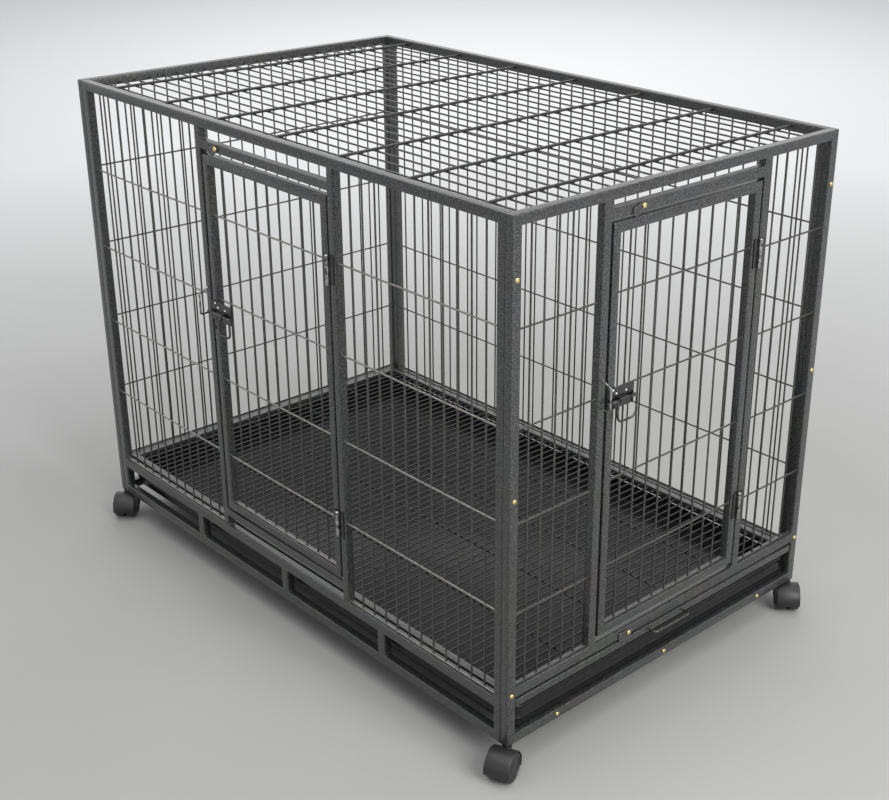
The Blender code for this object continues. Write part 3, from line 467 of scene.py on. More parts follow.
def add_wire(shape, path, radius, sides=WIRE_SIDES, place=None):
    """A round wire along a path of points, with a ring square to the path at each point."""
    path = [Vector(point) for point in path]
    if place is not None:
        path = [place @ point for point in path]
    steps = [(b - a).normalized() for a, b in zip(path, path[1:])]
    headings = [steps[0]] + [(a + b).normalized() for a, b in zip(steps, steps[1:])] + [steps[-1]]
    side = headings[0].orthogonal().normalized()
    rings = []
    for point, heading in zip(path, headings):
        side = (side - heading * side.dot(heading)).normalized()
        other = heading.cross(side)
        rings.append([point + radius * (c * side + s * other) for c, s in circle(sides)])
    skin(shape, rings)


BALL = [[Vector((math.sqrt(1 - h * h) * c, math.sqrt(1 - h * h) * s, h)) for c, s in circle(BALL_SIDES)]
        for h in BALL_HEIGHTS]


def add_nugget(shape, centre, radii, place=None):
    """A small squashed ball of five rings, for a spot weld."""
    matrix = (place or Matrix()) @ Matrix.Translation(centre) @ Matrix.Diagonal((*radii, 1.0))
    skin(shape, [[matrix @ point for point in ring] for ring in BALL])


print("points in a weld", len(BALL) * BALL_SIDES)

# %% [markdown]
# The wire mesh. Upright wires stand behind the level wires, and each crossing is spot-welded, which leaves a
# small nugget of coated metal. A bead lies where a wire runs into the tube. Real wires are never quite
# straight after welding, so each one gets a bow of a fraction of a millimetre from a seeded random draw.

# %% Wire mesh of a panel
rng = random.Random(11)
BOW = 0.0006
QUARTER_BOW = 0.7
SAG = 1.6
NUGGET_LEAST, NUGGET_MOST, NUGGET_DEPTH = 0.0015, 0.0019, 0.0019
BEAD, BEAD_FLAT = 0.0022, 0.0011


def spread(low, high, pitch):
    """Places that divide a span into equal gaps of about this pitch, without the span's ends."""
    gaps = max(1, round((high - low) / pitch))
    return [low + (high - low) * i / gaps for i in range(1, gaps)]


def add_mesh_wires(shape, level_shape, place, field, pitch, rows):
    """A field (x0, x1, z0, z1) of wires: uprights and welds in one mesh, level wires in another."""
    x0, x1, z0, z1 = field
    behind = TUBE / 2 + LAYER
    front = TUBE / 2 - LAYER
    middle = (z0 + z1) / 2
    uprights = spread(x0, x1, pitch)
    levels = [z0 + WIRE_RADIUS + SEAM, *rows]
    for x in uprights:
        bow = rng.uniform(-BOW, BOW)
        add_wire(shape, [(x, behind, z0 - ROOT), (x + bow * QUARTER_BOW, behind, (z0 + middle) / 2),
                         (x + bow, behind, middle), (x + bow * QUARTER_BOW, behind, (z1 + middle) / 2),
                         (x, behind, z1 + ROOT)], WIRE_RADIUS, place=place)
    for z in levels:
        sag = rng.uniform(-BOW, 0.0) * SAG
        add_wire(level_shape, [(x0 - ROOT, front, z), ((x0 + x1) / 2, front, z + sag), (x1 + ROOT, front, z)],
                 WIRE_RADIUS, place=place)
    for x in uprights:
        for z in levels:
            size = rng.uniform(NUGGET_LEAST, NUGGET_MOST)
            add_nugget(shape, (x, TUBE / 2 - LAYER / 4, z), (size, NUGGET_DEPTH, size), place)
    for x in uprights:
        for z in (z0, z1):
            add_nugget(shape, (x, behind, z), (BEAD, BEAD, BEAD_FLAT), place)
    for z in rows:
        for x in (x0, x1):
            add_nugget(shape, (x, front, z), (BEAD_FLAT, BEAD, BEAD), place)


print("rows at", [round(z, 3) for z in ROWS])

# %% [markdown]
# Square tube. The coat fills the welded joints, so each frame is one slab, with windows cut through it by a
# Boolean modifier and its edges rounded by a Bevel. Its corners then run on without a step.

# %% Frame of square tube
ROUNDING = 0.0015
ROUNDING_STEPS = 3


def block_object(name, blocks):
    """An object of plain blocks, each with its middle and its size."""
    cubes = bmesh.new()
    for middle, size in blocks:
        bmesh.ops.create_cube(cubes, matrix=Matrix.Translation(middle) @ Matrix.Diagonal((*size, 1.0)))
    mesh = bpy.data.meshes.new(name)
    cubes.to_mesh(mesh)
    cubes.free()
    piece = bpy.data.objects.new(name, mesh)
    scene.collection.objects.link(piece)
    return piece


def add_tube_frame(shape, low, high, windows, place):
    """A slab of square tube lying in XZ, with windows cut through along Y and every edge rounded."""
    size = Vector(high) - Vector(low)
    body = block_object("slab", [((Vector(low) + Vector(high)) / 2, size)])
    cutter = block_object("holes", [(((x0 + x1) / 2, (low[1] + high[1]) / 2, (z0 + z1) / 2),
                                     (x1 - x0, 3 * size.y, z1 - z0)) for x0, x1, z0, z1 in windows])
    cut = body.modifiers.new("cut", "BOOLEAN")
    cut.operation = "DIFFERENCE"
    cut.solver = "EXACT"
    cut.object = cutter
    rounded = body.modifiers.new("rounded", "BEVEL")
    rounded.width = ROUNDING
    rounded.segments = ROUNDING_STEPS
    rounded.limit_method = "ANGLE"
    rounded.angle_limit = math.radians(SHARP_ANGLE)
    bpy.context.view_layer.update()
    evaluated = body.evaluated_get(bpy.context.evaluated_depsgraph_get())
    mesh = bpy.data.meshes.new_from_object(evaluated)
    mesh.transform(place)
    shape.from_mesh(mesh)
    for leftover in (body, cutter):
        bpy.data.objects.remove(leftover, do_unlink=True)


print("rounding", ROUNDING)

# %% [markdown]
# The four panels. Each is a frame of tube with a mesh of wires in each bay. Frame and wires are pieces of
# their own, because the coat looks smoother and darker on the thin wire. The level wires of the long side
# catch the ceiling's light along their whole length, so their coat is glossier and painted lighter: a painted
# highlight. The front header's lower edge is drawn one millimetre lower than in the CAD, which leaves the door
# the thin gap of the photograph.

# %% Side panels
SIDE_PITCH = 0.028


def side_base_windows(half):
    """The four windows of a side panel's base, between its three short uprights."""
    inner = half - TUBE
    edges = [-inner]
    for middle in (-inner / 2, 0.0, inner / 2):
        edges += [middle - RAIL / 2, middle + RAIL / 2]
    edges.append(inner)
    return [(edges[i], edges[i + 1], RAIL, SIDE_RAIL_Z) for i in range(0, len(edges), 2)]


def make_frame(name, body, place, low, high, windows, fields, pitch, rows, level_coat):
    """A frame of tube between two corners (x, z) of a face, with its windows and its fields of wire."""
    shape = bmesh.new()
    add_tube_frame(shape, (low[0], 0.0, low[1]), (high[0], TUBE, high[1]), windows, place)
    finish_piece(name + "_tubes", shape, COAT, body, [name])
    shape = bmesh.new()
    levels = bmesh.new()
    for field in fields:
        add_mesh_wires(shape, levels, place, field, pitch, rows)
    wires = finish_piece(name + "_wires", shape, WIRE_COAT, body, [name])
    finish_piece(name + "_level_wires", levels, level_coat, body, [name])
    print(name, len(wires.data.polygons), "faces of wire")


def make_panel(name, place, half, windows, fields, pitch, level_coat):
    """A panel of the cage's full height."""
    make_frame(name, "cage", place, (-half, 0.0), (half, HEIGHT), windows, fields, pitch, ROWS, level_coat)


side_half = LENGTH / 2 - TUBE - SEAM
side_inner = side_half - TUBE
side_bays = [(-side_inner, -FRONT_MULLION_OUT, SIDE_RAIL_TOP, TOP_RAIL_Z),
             (FRONT_MULLION_OUT, side_inner, SIDE_RAIL_TOP, TOP_RAIL_Z)]
door_windows = [(-DOOR_HALF, DOOR_HALF, FRONT_HEADER_Z + SLIM, TOP_RAIL_Z),
                (-DOOR_HALF, DOOR_HALF, FRONT_SILL_Z + SLIM, FRONT_HEADER_Z - HEADER_SEAL),
                (-DOOR_HALF, DOOR_HALF, SIDE_RAIL_TOP, FRONT_SILL_Z)]
# The front side's level wires take the coat with the painted highlight.
make_panel("front_side_panel", FRONT, side_half, side_bays + door_windows + side_base_windows(side_half),
           side_bays, SIDE_PITCH, LEVEL_WIRE_PAINTED_HIGHLIGHT_COAT)
side_field = (-side_inner, side_inner, SIDE_RAIL_TOP, TOP_RAIL_Z)
make_panel("back_side_panel", BACK, side_half, [side_field] + side_base_windows(side_half), [side_field],
           SIDE_PITCH, WIRE_COAT)

# %% [markdown]
# The ends are made in the same way. The door end has a mesh bay at each side of its door, and right across
# above its base rail the window through which the grate and the tray slide. The far end is one field of mesh
# over a lower window.

# %% End panels
END_PITCH = 0.0257
end_inner = WIDTH / 2 - RAIL
end_bays = [(-end_inner, -END_MULLION_OUT, END_RAIL_TOP, TOP_RAIL_Z),
            (END_MULLION_OUT, end_inner, END_RAIL_TOP, TOP_RAIL_Z)]
end_windows = [(-DOOR_HALF, DOOR_HALF, END_HEADER_Z + RAIL, TOP_RAIL_Z),
               (-DOOR_HALF, DOOR_HALF, END_RAIL_TOP, END_HEADER_Z),
               (-end_inner, end_inner, RAIL, END_RAIL_Z)]
make_panel("door_end_panel", DOOR_END, WIDTH / 2, end_bays + end_windows, end_bays, END_PITCH, WIRE_COAT)
end_field = (-end_inner, end_inner, SIDE_RAIL_TOP, TOP_RAIL_Z)
make_panel("far_end_panel", FAR_END, WIDTH / 2, [end_field, (-end_inner, end_inner, RAIL, SIDE_RAIL_Z)],
           [end_field], END_PITCH, WIRE_COAT)

# %% [markdown]
# The top is a loose sheet of mesh let in between the rails: long thin wires below, and seven thicker ones
# across them on top. These look darker because they show their sides, and their coat is painted near black as
# painted shade for that.

# %% Top grid
TOP_PITCH = 0.029
CROSS_RADIUS, CROSS_SIDES = 0.0024, 14
CROSS_COUNT = 7
CROSS_INSET = 0.0795
CROSS_DROP = 0.0045
CROSS_WELD, CROSS_WELD_RISE = (0.0023, 0.0021, 0.0019), 0.0012
cross_z = HEIGHT - CROSS_DROP - CROSS_RADIUS
long_z = cross_z - CROSS_RADIUS - WIRE_RADIUS - SEAM
long_end = LENGTH / 2 - TUBE - SEAM
cross_end = WIDTH / 2 - TUBE - SEAM
cross_first = CROSS_INSET - LENGTH / 2
cross_places = [cross_first * (1 - 2 * i / (CROSS_COUNT - 1)) for i in range(CROSS_COUNT)]
long_places = spread(-cross_end, cross_end, TOP_PITCH)
shape = bmesh.new()
for y in long_places:
    bow = rng.uniform(-BOW, BOW)
    add_wire(shape, [(-long_end, y, long_z), (-long_end / 2, y + bow, long_z),
                     (long_end / 2, y - bow, long_z), (long_end, y, long_z)], WIRE_RADIUS)
finish_piece("top_long_wires", shape, WIRE_COAT, "cage", ["top_grid"])
shape = bmesh.new()
for x in cross_places:
    add_wire(shape, [(x, -cross_end, cross_z), (x, cross_end, cross_z)], CROSS_RADIUS, CROSS_SIDES)
    for y in long_places:
        add_nugget(shape, (x, y, long_z + CROSS_WELD_RISE), CROSS_WELD)
# The cross wires take the coat painted dark as painted shade.
finish_piece("top_cross_wires", shape, CROSS_WIRE_PAINTED_SHADE_COAT, "cage", ["top_grid"])
print("top", len(long_places), "long wires,", CROSS_COUNT, "across")

# %% [markdown]
# The doors are smaller frames of the same tube, hung in their openings in the same plane as the panel. Each
# rides on its own body, so that it swings with its hinge.

# %% Doors
DOOR_PITCH = 0.0296
END_DOOR_LIFT = 0.005


def make_door(name, place, stile, lift, level_coat):
    """A door of the size that the CAD has, its level wires a lift above the panel's."""
    low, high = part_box(name)
    x0, x1 = sorted((place.inverted() @ corner).x for corner in (low, high))
    window = (x0 + stile, x1 - stile, low.z + SLIM, high.z - RAIL)
    make_frame(name, name, place, (x0, low.z), (x1, high.z), [window], [window], DOOR_PITCH,
               [z + lift for z in ROWS], level_coat)


# The front door's level wires take the coat with the painted highlight too.
make_door("front_door", FRONT, SLIM, 0.0, LEVEL_WIRE_PAINTED_HIGHLIGHT_COAT)
make_door("end_door", DOOR_END, TUBE, END_DOOR_LIFT, WIRE_COAT)

# %% [markdown]
# The floor grate is a tube frame with close cross wires on four long ones. The frame is drawn upright, like
# the panels, and a matrix lays it flat.

# %% Floor grate
grate_low, grate_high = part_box("floor_grate")
grate_mid_z = (grate_low.z + grate_high.z) / 2
GRATE_PITCH = 0.0167
GRATE_LONG_INSET, GRATE_LONG_COUNT = 0.143, 4
GRATE_SIDES = 10
GRATE_WELD, GRATE_WELD_RISE = (0.0017, 0.0017, 0.0018), 0.0003
lay_flat = (Matrix.Translation((0.0, 0.0, grate_mid_z))
            @ Matrix(((1, 0, 0, 0), (0, 0, 1, 0), (0, 1, 0, 0), (0, 0, 0, 1))))
half_y = grate_high.y
shape = bmesh.new()
add_tube_frame(shape, (grate_low.x, -SLIM / 2, -half_y), (grate_high.x, SLIM / 2, half_y),
               [(grate_low.x + SLIM, grate_high.x - SLIM, SLIM - half_y, half_y - SLIM)], lay_flat)
finish_piece("floor_grate_tubes", shape, COAT, "grate", ["floor_grate"])
cross_wires = spread(grate_low.x + SLIM, grate_high.x - SLIM, GRATE_PITCH)
long_first = GRATE_LONG_INSET - half_y
long_ys = [long_first * (1 - 2 * i / (GRATE_LONG_COUNT - 1)) for i in range(GRATE_LONG_COUNT)]
over, under = grate_mid_z + LAYER, grate_mid_z - LAYER
shape = bmesh.new()
for x in cross_wires:
    bow = rng.uniform(-BOW, BOW)
    add_wire(shape, [(x, SLIM - half_y - ROOT, over), (x + bow, 0.0, over), (x, half_y - SLIM + ROOT, over)],
             WIRE_RADIUS, GRATE_SIDES)
    for y in long_ys:
        add_nugget(shape, (x, y, grate_mid_z + GRATE_WELD_RISE), GRATE_WELD)
for y in long_ys:
    add_wire(shape, [(grate_low.x + SLIM - ROOT, y, under), (grate_high.x - SLIM + ROOT, y, under)],
             WIRE_RADIUS, GRATE_SIDES)
finish_piece("floor_grate_wires", shape, GRATE_COAT, "grate", ["floor_grate"])
print("grate", len(cross_wires), "cross wires")

# %% [markdown]
# The grate slides out by a bent wire handle at its front. A wire bent in a tool turns its corners in arcs, so
# a helper rounds each inner corner of a path. The latches' wires are bent by the same helper.

# %% Bent wire and the grate's handle
HANDLE_RADIUS = 0.002
HANDLE_BEND = 0.006
HANDLE_BEAD, HANDLE_BEAD_OUT = (0.0009, 0.003, 0.003), 0.0006


def bent(corners, radius, steps=8):
    """A path through these corners, with each inner corner rounded to an arc."""
    corners = [Vector(corner) for corner in corners]
    path = [corners[0]]
    for before, corner, after in zip(corners, corners[1:], corners[2:]):
        towards = (before - corner).normalized()
        away = (after - corner).normalized()
        half = towards.angle(away) / 2
        centre = corner + (towards + away).normalized() * (radius / math.sin(half))
        first = corner + towards * (radius / math.tan(half)) - centre
        last = corner + away * (radius / math.tan(half)) - centre
        sweep = first.angle(last)
        for i in range(steps + 1):
            share = i / steps
            arm = first * math.sin((1 - share) * sweep) + last * math.sin(share * sweep)
            path.append(centre + arm / math.sin(sweep))
    path.append(corners[-1])
    return path


handle_low, handle_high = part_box("grate_handle")
root_x = handle_low.x
reach_x = handle_high.x - HANDLE_RADIUS
side_y = handle_high.y - HANDLE_RADIUS
shape = bmesh.new()
corners = [(root_x, -side_y), (reach_x, -side_y), (reach_x, side_y), (root_x, side_y)]
add_wire(shape, bent([(x, y, grate_mid_z) for x, y in corners], HANDLE_BEND), HANDLE_RADIUS)
for y in (-side_y, side_y):
    add_nugget(shape, (root_x + HANDLE_BEAD_OUT, y, grate_mid_z), HANDLE_BEAD)
finish_piece("grate_handle_wire", shape, WIRE_COAT, "grate", ["grate_handle"])
print("handle is", round(2 * side_y, 4), "wide")

# %% [markdown]
# The tray is pressed from one sheet: upright walls with a bead pressed along them, a rolled lip and a rounded
# foot. Its section, as distances out from the wall and heights over the foot, is swept round a rectangle with
# arcs for corners, and each ring of the sweep stands at an angle on the centre of its arc.

# %% Tray
tray_low, tray_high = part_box("tray")
LIP = 0.0022
LIP_ROLL, LIP_BACK, LIP_STEPS = 0.0030, 0.0008, 5
WALL = 0.002
CORNER = 0.014
CORNER_STEPS = 10
tray_z = tray_low.z
tray_height = tray_high.z - tray_low.z
lip_turn = arc(LIP_ROLL, -40, 130, LIP_STEPS, -LIP_BACK, tray_height - LIP_ROLL)
outer = [(-0.0030, 0.0), (-0.0012, 0.0005), (-0.0004, 0.0014), (0.0, 0.0030), (0.0, 0.0125), (0.0009, 0.0135),
         (0.0013, 0.0145), (0.0009, 0.0155), (0.0, 0.0165), (0.0, tray_height - 0.0068), *lip_turn]
inner = [(-WALL, tray_height - 0.0006), (-WALL, 0.0046), (-0.0026, 0.0030), (-0.0038, 0.0022)]
section = outer + inner
wall_x0, wall_x1 = tray_low.x + LIP, tray_high.x - LIP
wall_y = tray_high.y - LIP
centres = [(wall_x1 - CORNER, wall_y - CORNER, 0), (wall_x0 + CORNER, wall_y - CORNER, 90),
           (wall_x0 + CORNER, CORNER - wall_y, 180), (wall_x1 - CORNER, CORNER - wall_y, 270)]
rings = []
for cx, cy, start in centres:
    for c, s in arc(1.0, start, 90, CORNER_STEPS):
        rings.append([Vector((cx, cy, tray_z)) + Vector((c, s, 0.0)) * (CORNER + out) + Vector((0, 0, z))
                      for out, z in section])
shape = bmesh.new()
rows = [[shape.verts.new(point) for point in ring] for ring in rings]
for one, two in zip(rows, rows[1:] + rows[:1]):
    for i in range(len(section) - 1):
        shape.faces.new((one[i], one[i + 1], two[i + 1], two[i]))
shape.faces.new([row[0] for row in rows])
shape.faces.new([row[-1] for row in rows])
finish_piece("tray_shell", shape, TRAY_BLACK, "tray", ["tray"], 50.0)
print("tray", [round(value, 4) for value in tray_high - tray_low])

# %% [markdown]
# Turned pieces and plates. A pin, a rivet and a wheel are a profile spun about an axis, as on a lathe. A
# hinge leaf and a turn-button are an outline cut from sheet, with a small chamfer that catches the light on
# its rims. Blender's Screw and Solidify modifiers could make both from a drawn curve.

# %% Turned pieces and plates
PLATE_EDGE = 0.0003


def add_turned(shape, profile, place, steps):
    """A profile of (radius, height) points spun about the Z axis of a placing matrix."""
    skin(shape, [[place @ Vector((radius * c, radius * s, height)) for c, s in circle(steps)]
                 for radius, height in profile])


def add_plate(shape, outline, low, high, place, edge=PLATE_EDGE):
    """A plate between two heights from one loop of (x, y) points, with a small chamfer on both rims."""
    count = len(outline)
    rim = []
    for i, point in enumerate(outline):
        before, after = Vector(outline[i - 1]), Vector(outline[(i + 1) % count])
        here = Vector(point)
        inward = ((after - before).normalized()).orthogonal()
        rim.append(here + inward * edge)
    if sum((Vector(b) - Vector(a)).cross(Vector(a)) for a, b in zip(outline, outline[1:] + outline[:1])) > 0:
        rim = [2 * Vector(point) - r for point, r in zip(outline, rim)]
    rings = [[place @ Vector((r.x, r.y, low)) for r in rim],
             [place @ Vector((x, y, low + edge)) for x, y in outline],
             [place @ Vector((x, y, high - edge)) for x, y in outline],
             [place @ Vector((r.x, r.y, high)) for r in rim]]
    skin(shape, rings)


def facing_out(place, x=0.0, z=0.0, out=0.0):
    """Turns a drawing so that its height points out of a face of the cage, at a spot on that face."""
    return place @ Matrix.Translation((x, -out, z)) @ Matrix.Rotation(math.radians(90), 4, "X")


print("chamfer of a plate", PLATE_EDGE)

# %% [markdown]
# Butt hinges. Each has two leaves with rolled knuckles and a headed pin. The leaves lie over the tubes, and
# the knuckles are rolled from the same sheet, so the door's leaf carries the middle third and the frame's
# leaf carries the rest. The black coat is rubbed off the knuckles, so they are pieces of their own in worn
# steel.

# %% Hinges
LEAF_THICK = 0.0015
LEAF_START, LEAF_REACH = 0.0036, 0.0118
TAB_LAP = 0.0004
KNUCKLE = 0.0033
PIN = 0.0014
PIN_SIDES = 24
PIN_HEAD = ((0.0002, 0.0), (0.0015, 0.0002), (0.0026, 0.0006), (0.0030, 0.0011), (PIN, 0.0012))


def make_leaf(name, place, axis_x, direction, spans, bottom, top, body):
    """One hinge leaf: a plate on the tube, a tab to each of its knuckles, and the rolled knuckles."""
    shape = bmesh.new()
    near = axis_x + direction * LEAF_START
    sheets = [((near, axis_x + direction * LEAF_REACH), (bottom, top))]
    sheets += [((axis_x, near + direction * TAB_LAP), span) for span in spans]
    for edges, (low, high) in sheets:
        x0, x1 = sorted(edges)
        add_plate(shape, [(x0, low), (x1, low), (x1, high), (x0, high)], SEAM, SEAM + LEAF_THICK,
                  facing_out(place))
    finish_piece(name + "_plate", shape, HINGE_COAT, body, [name])
    shape = bmesh.new()
    bore = PIN + 0.0004
    spot = place @ Matrix.Translation((axis_x, -(KNUCKLE + SEAM), 0.0))
    for low, high in spans:
        add_turned(shape, [(bore, low), (KNUCKLE - PLATE_EDGE, low), (KNUCKLE, low + PLATE_EDGE),
                           (KNUCKLE, high - PLATE_EDGE), (KNUCKLE - PLATE_EDGE, high), (bore, high)],
                   spot, PIN_SIDES)
    finish_piece(name + "_knuckle", shape, KEEPER_STEEL, body, [name])


def make_hinge(name, place, body):
    """Both leaves and the pin of one hinge, where the CAD has them."""
    low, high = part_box(name + "_hinge_pin")
    leaf_low, leaf_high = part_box(name + "_hinge_frame_leaf")
    axis = place.inverted() @ ((low + high) / 2)
    bottom, top = leaf_low.z, leaf_high.z
    third = (top - bottom) / 3
    frame_spans = [(bottom, bottom + third - SEAM / 2), (top - third + SEAM / 2, top)]
    door_spans = [(bottom + third + SEAM / 2, top - third - SEAM / 2)]
    make_leaf(name + "_hinge_frame_leaf", place, axis.x, 1, frame_spans, bottom, top, "cage")
    make_leaf(name + "_hinge_door_leaf", place, axis.x, -1, door_spans, bottom, top, body)
    shape = bmesh.new()
    profile = [(radius, high.z - drop) for radius, drop in PIN_HEAD]
    profile += [(PIN, low.z + 0.0003), (PIN - 0.0004, low.z), (0.0002, low.z)]
    add_turned(shape, profile, place @ Matrix.Translation((axis.x, axis.y, 0.0)), PIN_SIDES)
    finish_piece(name + "_hinge_pin_turned", shape, ZINC, "cage", [name + "_hinge_pin"])


for where in ("upper", "lower"):
    make_hinge("front_" + where, FRONT, "front_door")
    make_hinge("end_" + where, DOOR_END, "end_door")

# %% [markdown]
# Slide-bolt latches. A small plate is riveted to the door, a saddle pressed out of it holds the round bolt,
# and the bolt ends in a bent-wire loop for the finger. The bolt slides through a wire keeper on the frame.
# First the places of all these are read from the CAD's boxes, in the drawing of a face.

# %% Where a latch lies


def measure_latch(name, place):
    """Where the CAD has the plate, the bolt and the keeper of one latch."""
    into_face = place.inverted()
    plate, bolt, keeper = ([into_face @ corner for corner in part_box(name + piece)]
                           for piece in ("_latch_plate", "_slide_bolt", "_keeper"))
    rod_radius = abs(bolt[1].y - bolt[0].y) / 2
    keeper_radius = abs(keeper[1].x - keeper[0].x) / 2
    return SimpleNamespace(
        left=min(plate[0].x, plate[1].x), right=max(plate[0].x, plate[1].x),
        bottom=plate[0].z, top=plate[1].z,
        rod_radius=rod_radius, rod_y=(bolt[0].y + bolt[1].y) / 2, rod_z=bolt[1].z - rod_radius,
        tip_x=min(bolt[0].x, bolt[1].x), end_x=max(bolt[0].x, bolt[1].x), loop_bottom=bolt[0].z,
        keeper_radius=keeper_radius, keeper_x=(keeper[0].x + keeper[1].x) / 2,
        keeper_y=min(keeper[0].y, keeper[1].y) + keeper_radius, keeper_z=keeper[0].z + keeper_radius)


LATCHES = {name: (place, measure_latch(name, place)) for name, place in (("front", FRONT), ("end", DOOR_END))}
for name, (place, latch) in LATCHES.items():
    print(name, "bolt from", round(latch.tip_x, 4), "to", round(latch.end_x, 4), "at", round(latch.rod_z, 4))

# %% [markdown]
# The latch plate has rounded corners and three rivets. Its saddle is a band bent over the bolt with a little
# room, so it is drawn as the outline of an arch and carried along the bolt from one edge to the other.

# %% Latch plate, saddle and rivets
PLATE_THICK, PLATE_CORNER, CORNER_POINTS = 0.0015, 0.003, 5
LOOP_START, LOOP_WIDTH = 0.0155, 0.0394
SADDLE_START, SADDLE_STOP = 0.0022, 0.0182
SADDLE_WALL, SADDLE_ROOM, SADDLE_STEPS = 0.0012, 0.0004, 12
RIVET_SIDES = 16
RIVET = ((0.0021, -0.0004), (0.0021, 0.0002), (0.00168, 0.0007), (0.00084, 0.0010), (0.0001, 0.0011))
RIVET_PLACES = ((0.009, 0.0038), (0.0162, 0.0103), (0.0366, 0.0105))


def rounded_rectangle(x0, x1, z0, z1, radius):
    """The outline of a rectangle whose corners are arcs."""
    points = []
    for cx, cz, start in ((x1 - radius, z1 - radius, 0), (x0 + radius, z1 - radius, 90),
                          (x0 + radius, z0 + radius, 180), (x1 - radius, z0 + radius, 270)):
        points += arc(radius, start, 90, CORNER_POINTS, cx, cz)
    return points


def make_latch_plate(name, place, latch):
    """The pressed plate with its saddle, and its rivets, which are a piece of their own."""
    shape = bmesh.new()
    add_plate(shape, rounded_rectangle(latch.left, latch.right, latch.bottom, latch.top, PLATE_CORNER),
              SEAM, SEAM + PLATE_THICK, facing_out(place))
    loop_left = latch.left + LOOP_START
    saddle_ends = (loop_left + SADDLE_START, loop_left + LOOP_WIDTH - SADDLE_STOP)
    room = latch.rod_radius + SADDLE_ROOM
    around = room + SADDLE_WALL
    arch = [(-y, z) for y, z in arc(around, -90, 180, SADDLE_STEPS)]
    under = [(-y, z) for y, z in reversed(arc(room, -90, 180, SADDLE_STEPS))]
    foot = -latch.rod_y - SEAM - SADDLE_WALL
    band = [(foot, -around), *arch, (foot, around), (foot, room), *under, (foot, -room)]
    skin(shape, [[place @ Vector((x, latch.rod_y + y, latch.rod_z + z)) for y, z in band]
                 for x in saddle_ends])
    finish_piece(name + "_latch_plate_pressed", shape, HINGE_COAT, name + "_door", [name + "_latch_plate"])
    shape = bmesh.new()
    for across, below in RIVET_PLACES:
        spot = facing_out(place, latch.left + across, latch.top - below, SEAM + PLATE_THICK)
        add_turned(shape, RIVET, spot, RIVET_SIDES)
    finish_piece(name + "_latch_rivets", shape, ZINC, name + "_door")


print("rivets in a plate", len(RIVET_PLACES))

# %% [markdown]
# The bolt is turned, with blunt ends, and its loop is a thinner wire bent to a U. The keeper is one wire with
# both ends on the frame. Their coat is rubbed through, so both are in worn steel.

# %% Bolts and keepers
LOOP_RADIUS, LOOP_BEND, LOOP_BEND_STEPS = 0.0018, 0.010, 10
KEEPER_RISE, KEEPER_SLOPE, KEEPER_BEND = 0.030, 0.008, 0.003
STOUT_SIDES, BOLT_SIDES = 14, 24


def make_bolt(name, place, latch):
    """The round bolt and the bent loop below it."""
    shape = bmesh.new()
    radius, tip, end = latch.rod_radius, latch.tip_x, latch.end_x
    lie = place @ Matrix.Translation((0.0, latch.rod_y, latch.rod_z))
    lie = lie @ Matrix.Rotation(math.radians(90), 4, "Y")
    add_turned(shape, [(0.0002, tip), (radius * 0.6, tip + 0.0001), (radius, tip + 0.0009),
                       (radius, end - 0.0008), (radius * 0.7, end - 0.0001), (0.0002, end)], lie, BOLT_SIDES)
    left = latch.left + LOOP_START
    right = left + LOOP_WIDTH
    loop_y = latch.rod_y - (radius - LOOP_RADIUS)
    bottom = latch.loop_bottom + LOOP_RADIUS
    path = bent([(left, loop_y, latch.rod_z), (left, loop_y, bottom), (right, loop_y, bottom),
                 (right, loop_y, latch.rod_z)], LOOP_BEND, LOOP_BEND_STEPS)
    add_wire(shape, path, LOOP_RADIUS, STOUT_SIDES, place)
    finish_piece(name + "_slide_bolt_turned", shape, BOLT_STEEL, name + "_bolt", [name + "_slide_bolt"])


def make_keeper(name, place, latch):
    """The bent wire on the frame that the bolt slides through."""
    x, y, bottom = latch.keeper_x, latch.keeper_y, latch.keeper_z
    top = latch.rod_z + KEEPER_RISE
    path = bent([(x, -SEAM, top + KEEPER_SLOPE), (x, y, top), (x, y, bottom), (x, -SEAM, bottom)],
                KEEPER_BEND)
    shape = bmesh.new()
    add_wire(shape, path, latch.keeper_radius, STOUT_SIDES, place)
    finish_piece(name + "_keeper_bent", shape, KEEPER_STEEL, "cage", [name + "_keeper"])


for name, (place, latch) in LATCHES.items():
    make_latch_plate(name, place, latch)
    make_bolt(name, place, latch)
    make_keeper(name, place, latch)
print("latches", len(LATCHES))

# %% [markdown]
# Turn-buttons: a flat stamped tab with a round tip on a screw, over the head of each door and over the grate.
# The outline is an arc round the tip and an arc round the eye, with straight sides between them.

# %% Turn-buttons
BUTTON_STEM, TIP, EYE = 0.014, 0.008, 0.0055
TIP_STEPS, EYE_STEPS, SCREW_SIDES = 24, 14, 28
BUTTON_EDGE = 0.0004
BUTTON_SCREW, BUTTON_SCREW_OUT = (0.0042, 0.0026), 0.0021


def add_screw(shape, spot, radius, height):
    """A pan head with a round recess, standing on the XY plane of its matrix."""
    add_turned(shape, [(radius * 0.5, -0.0008), (radius, 0.0), (radius, height * 0.35),
                       (radius * 0.88, height * 0.72), (radius * 0.6, height * 0.95), (radius * 0.30, height),
                       (radius * 0.22, height * 0.62), (0.0001, height * 0.55)], spot, SCREW_SIDES)


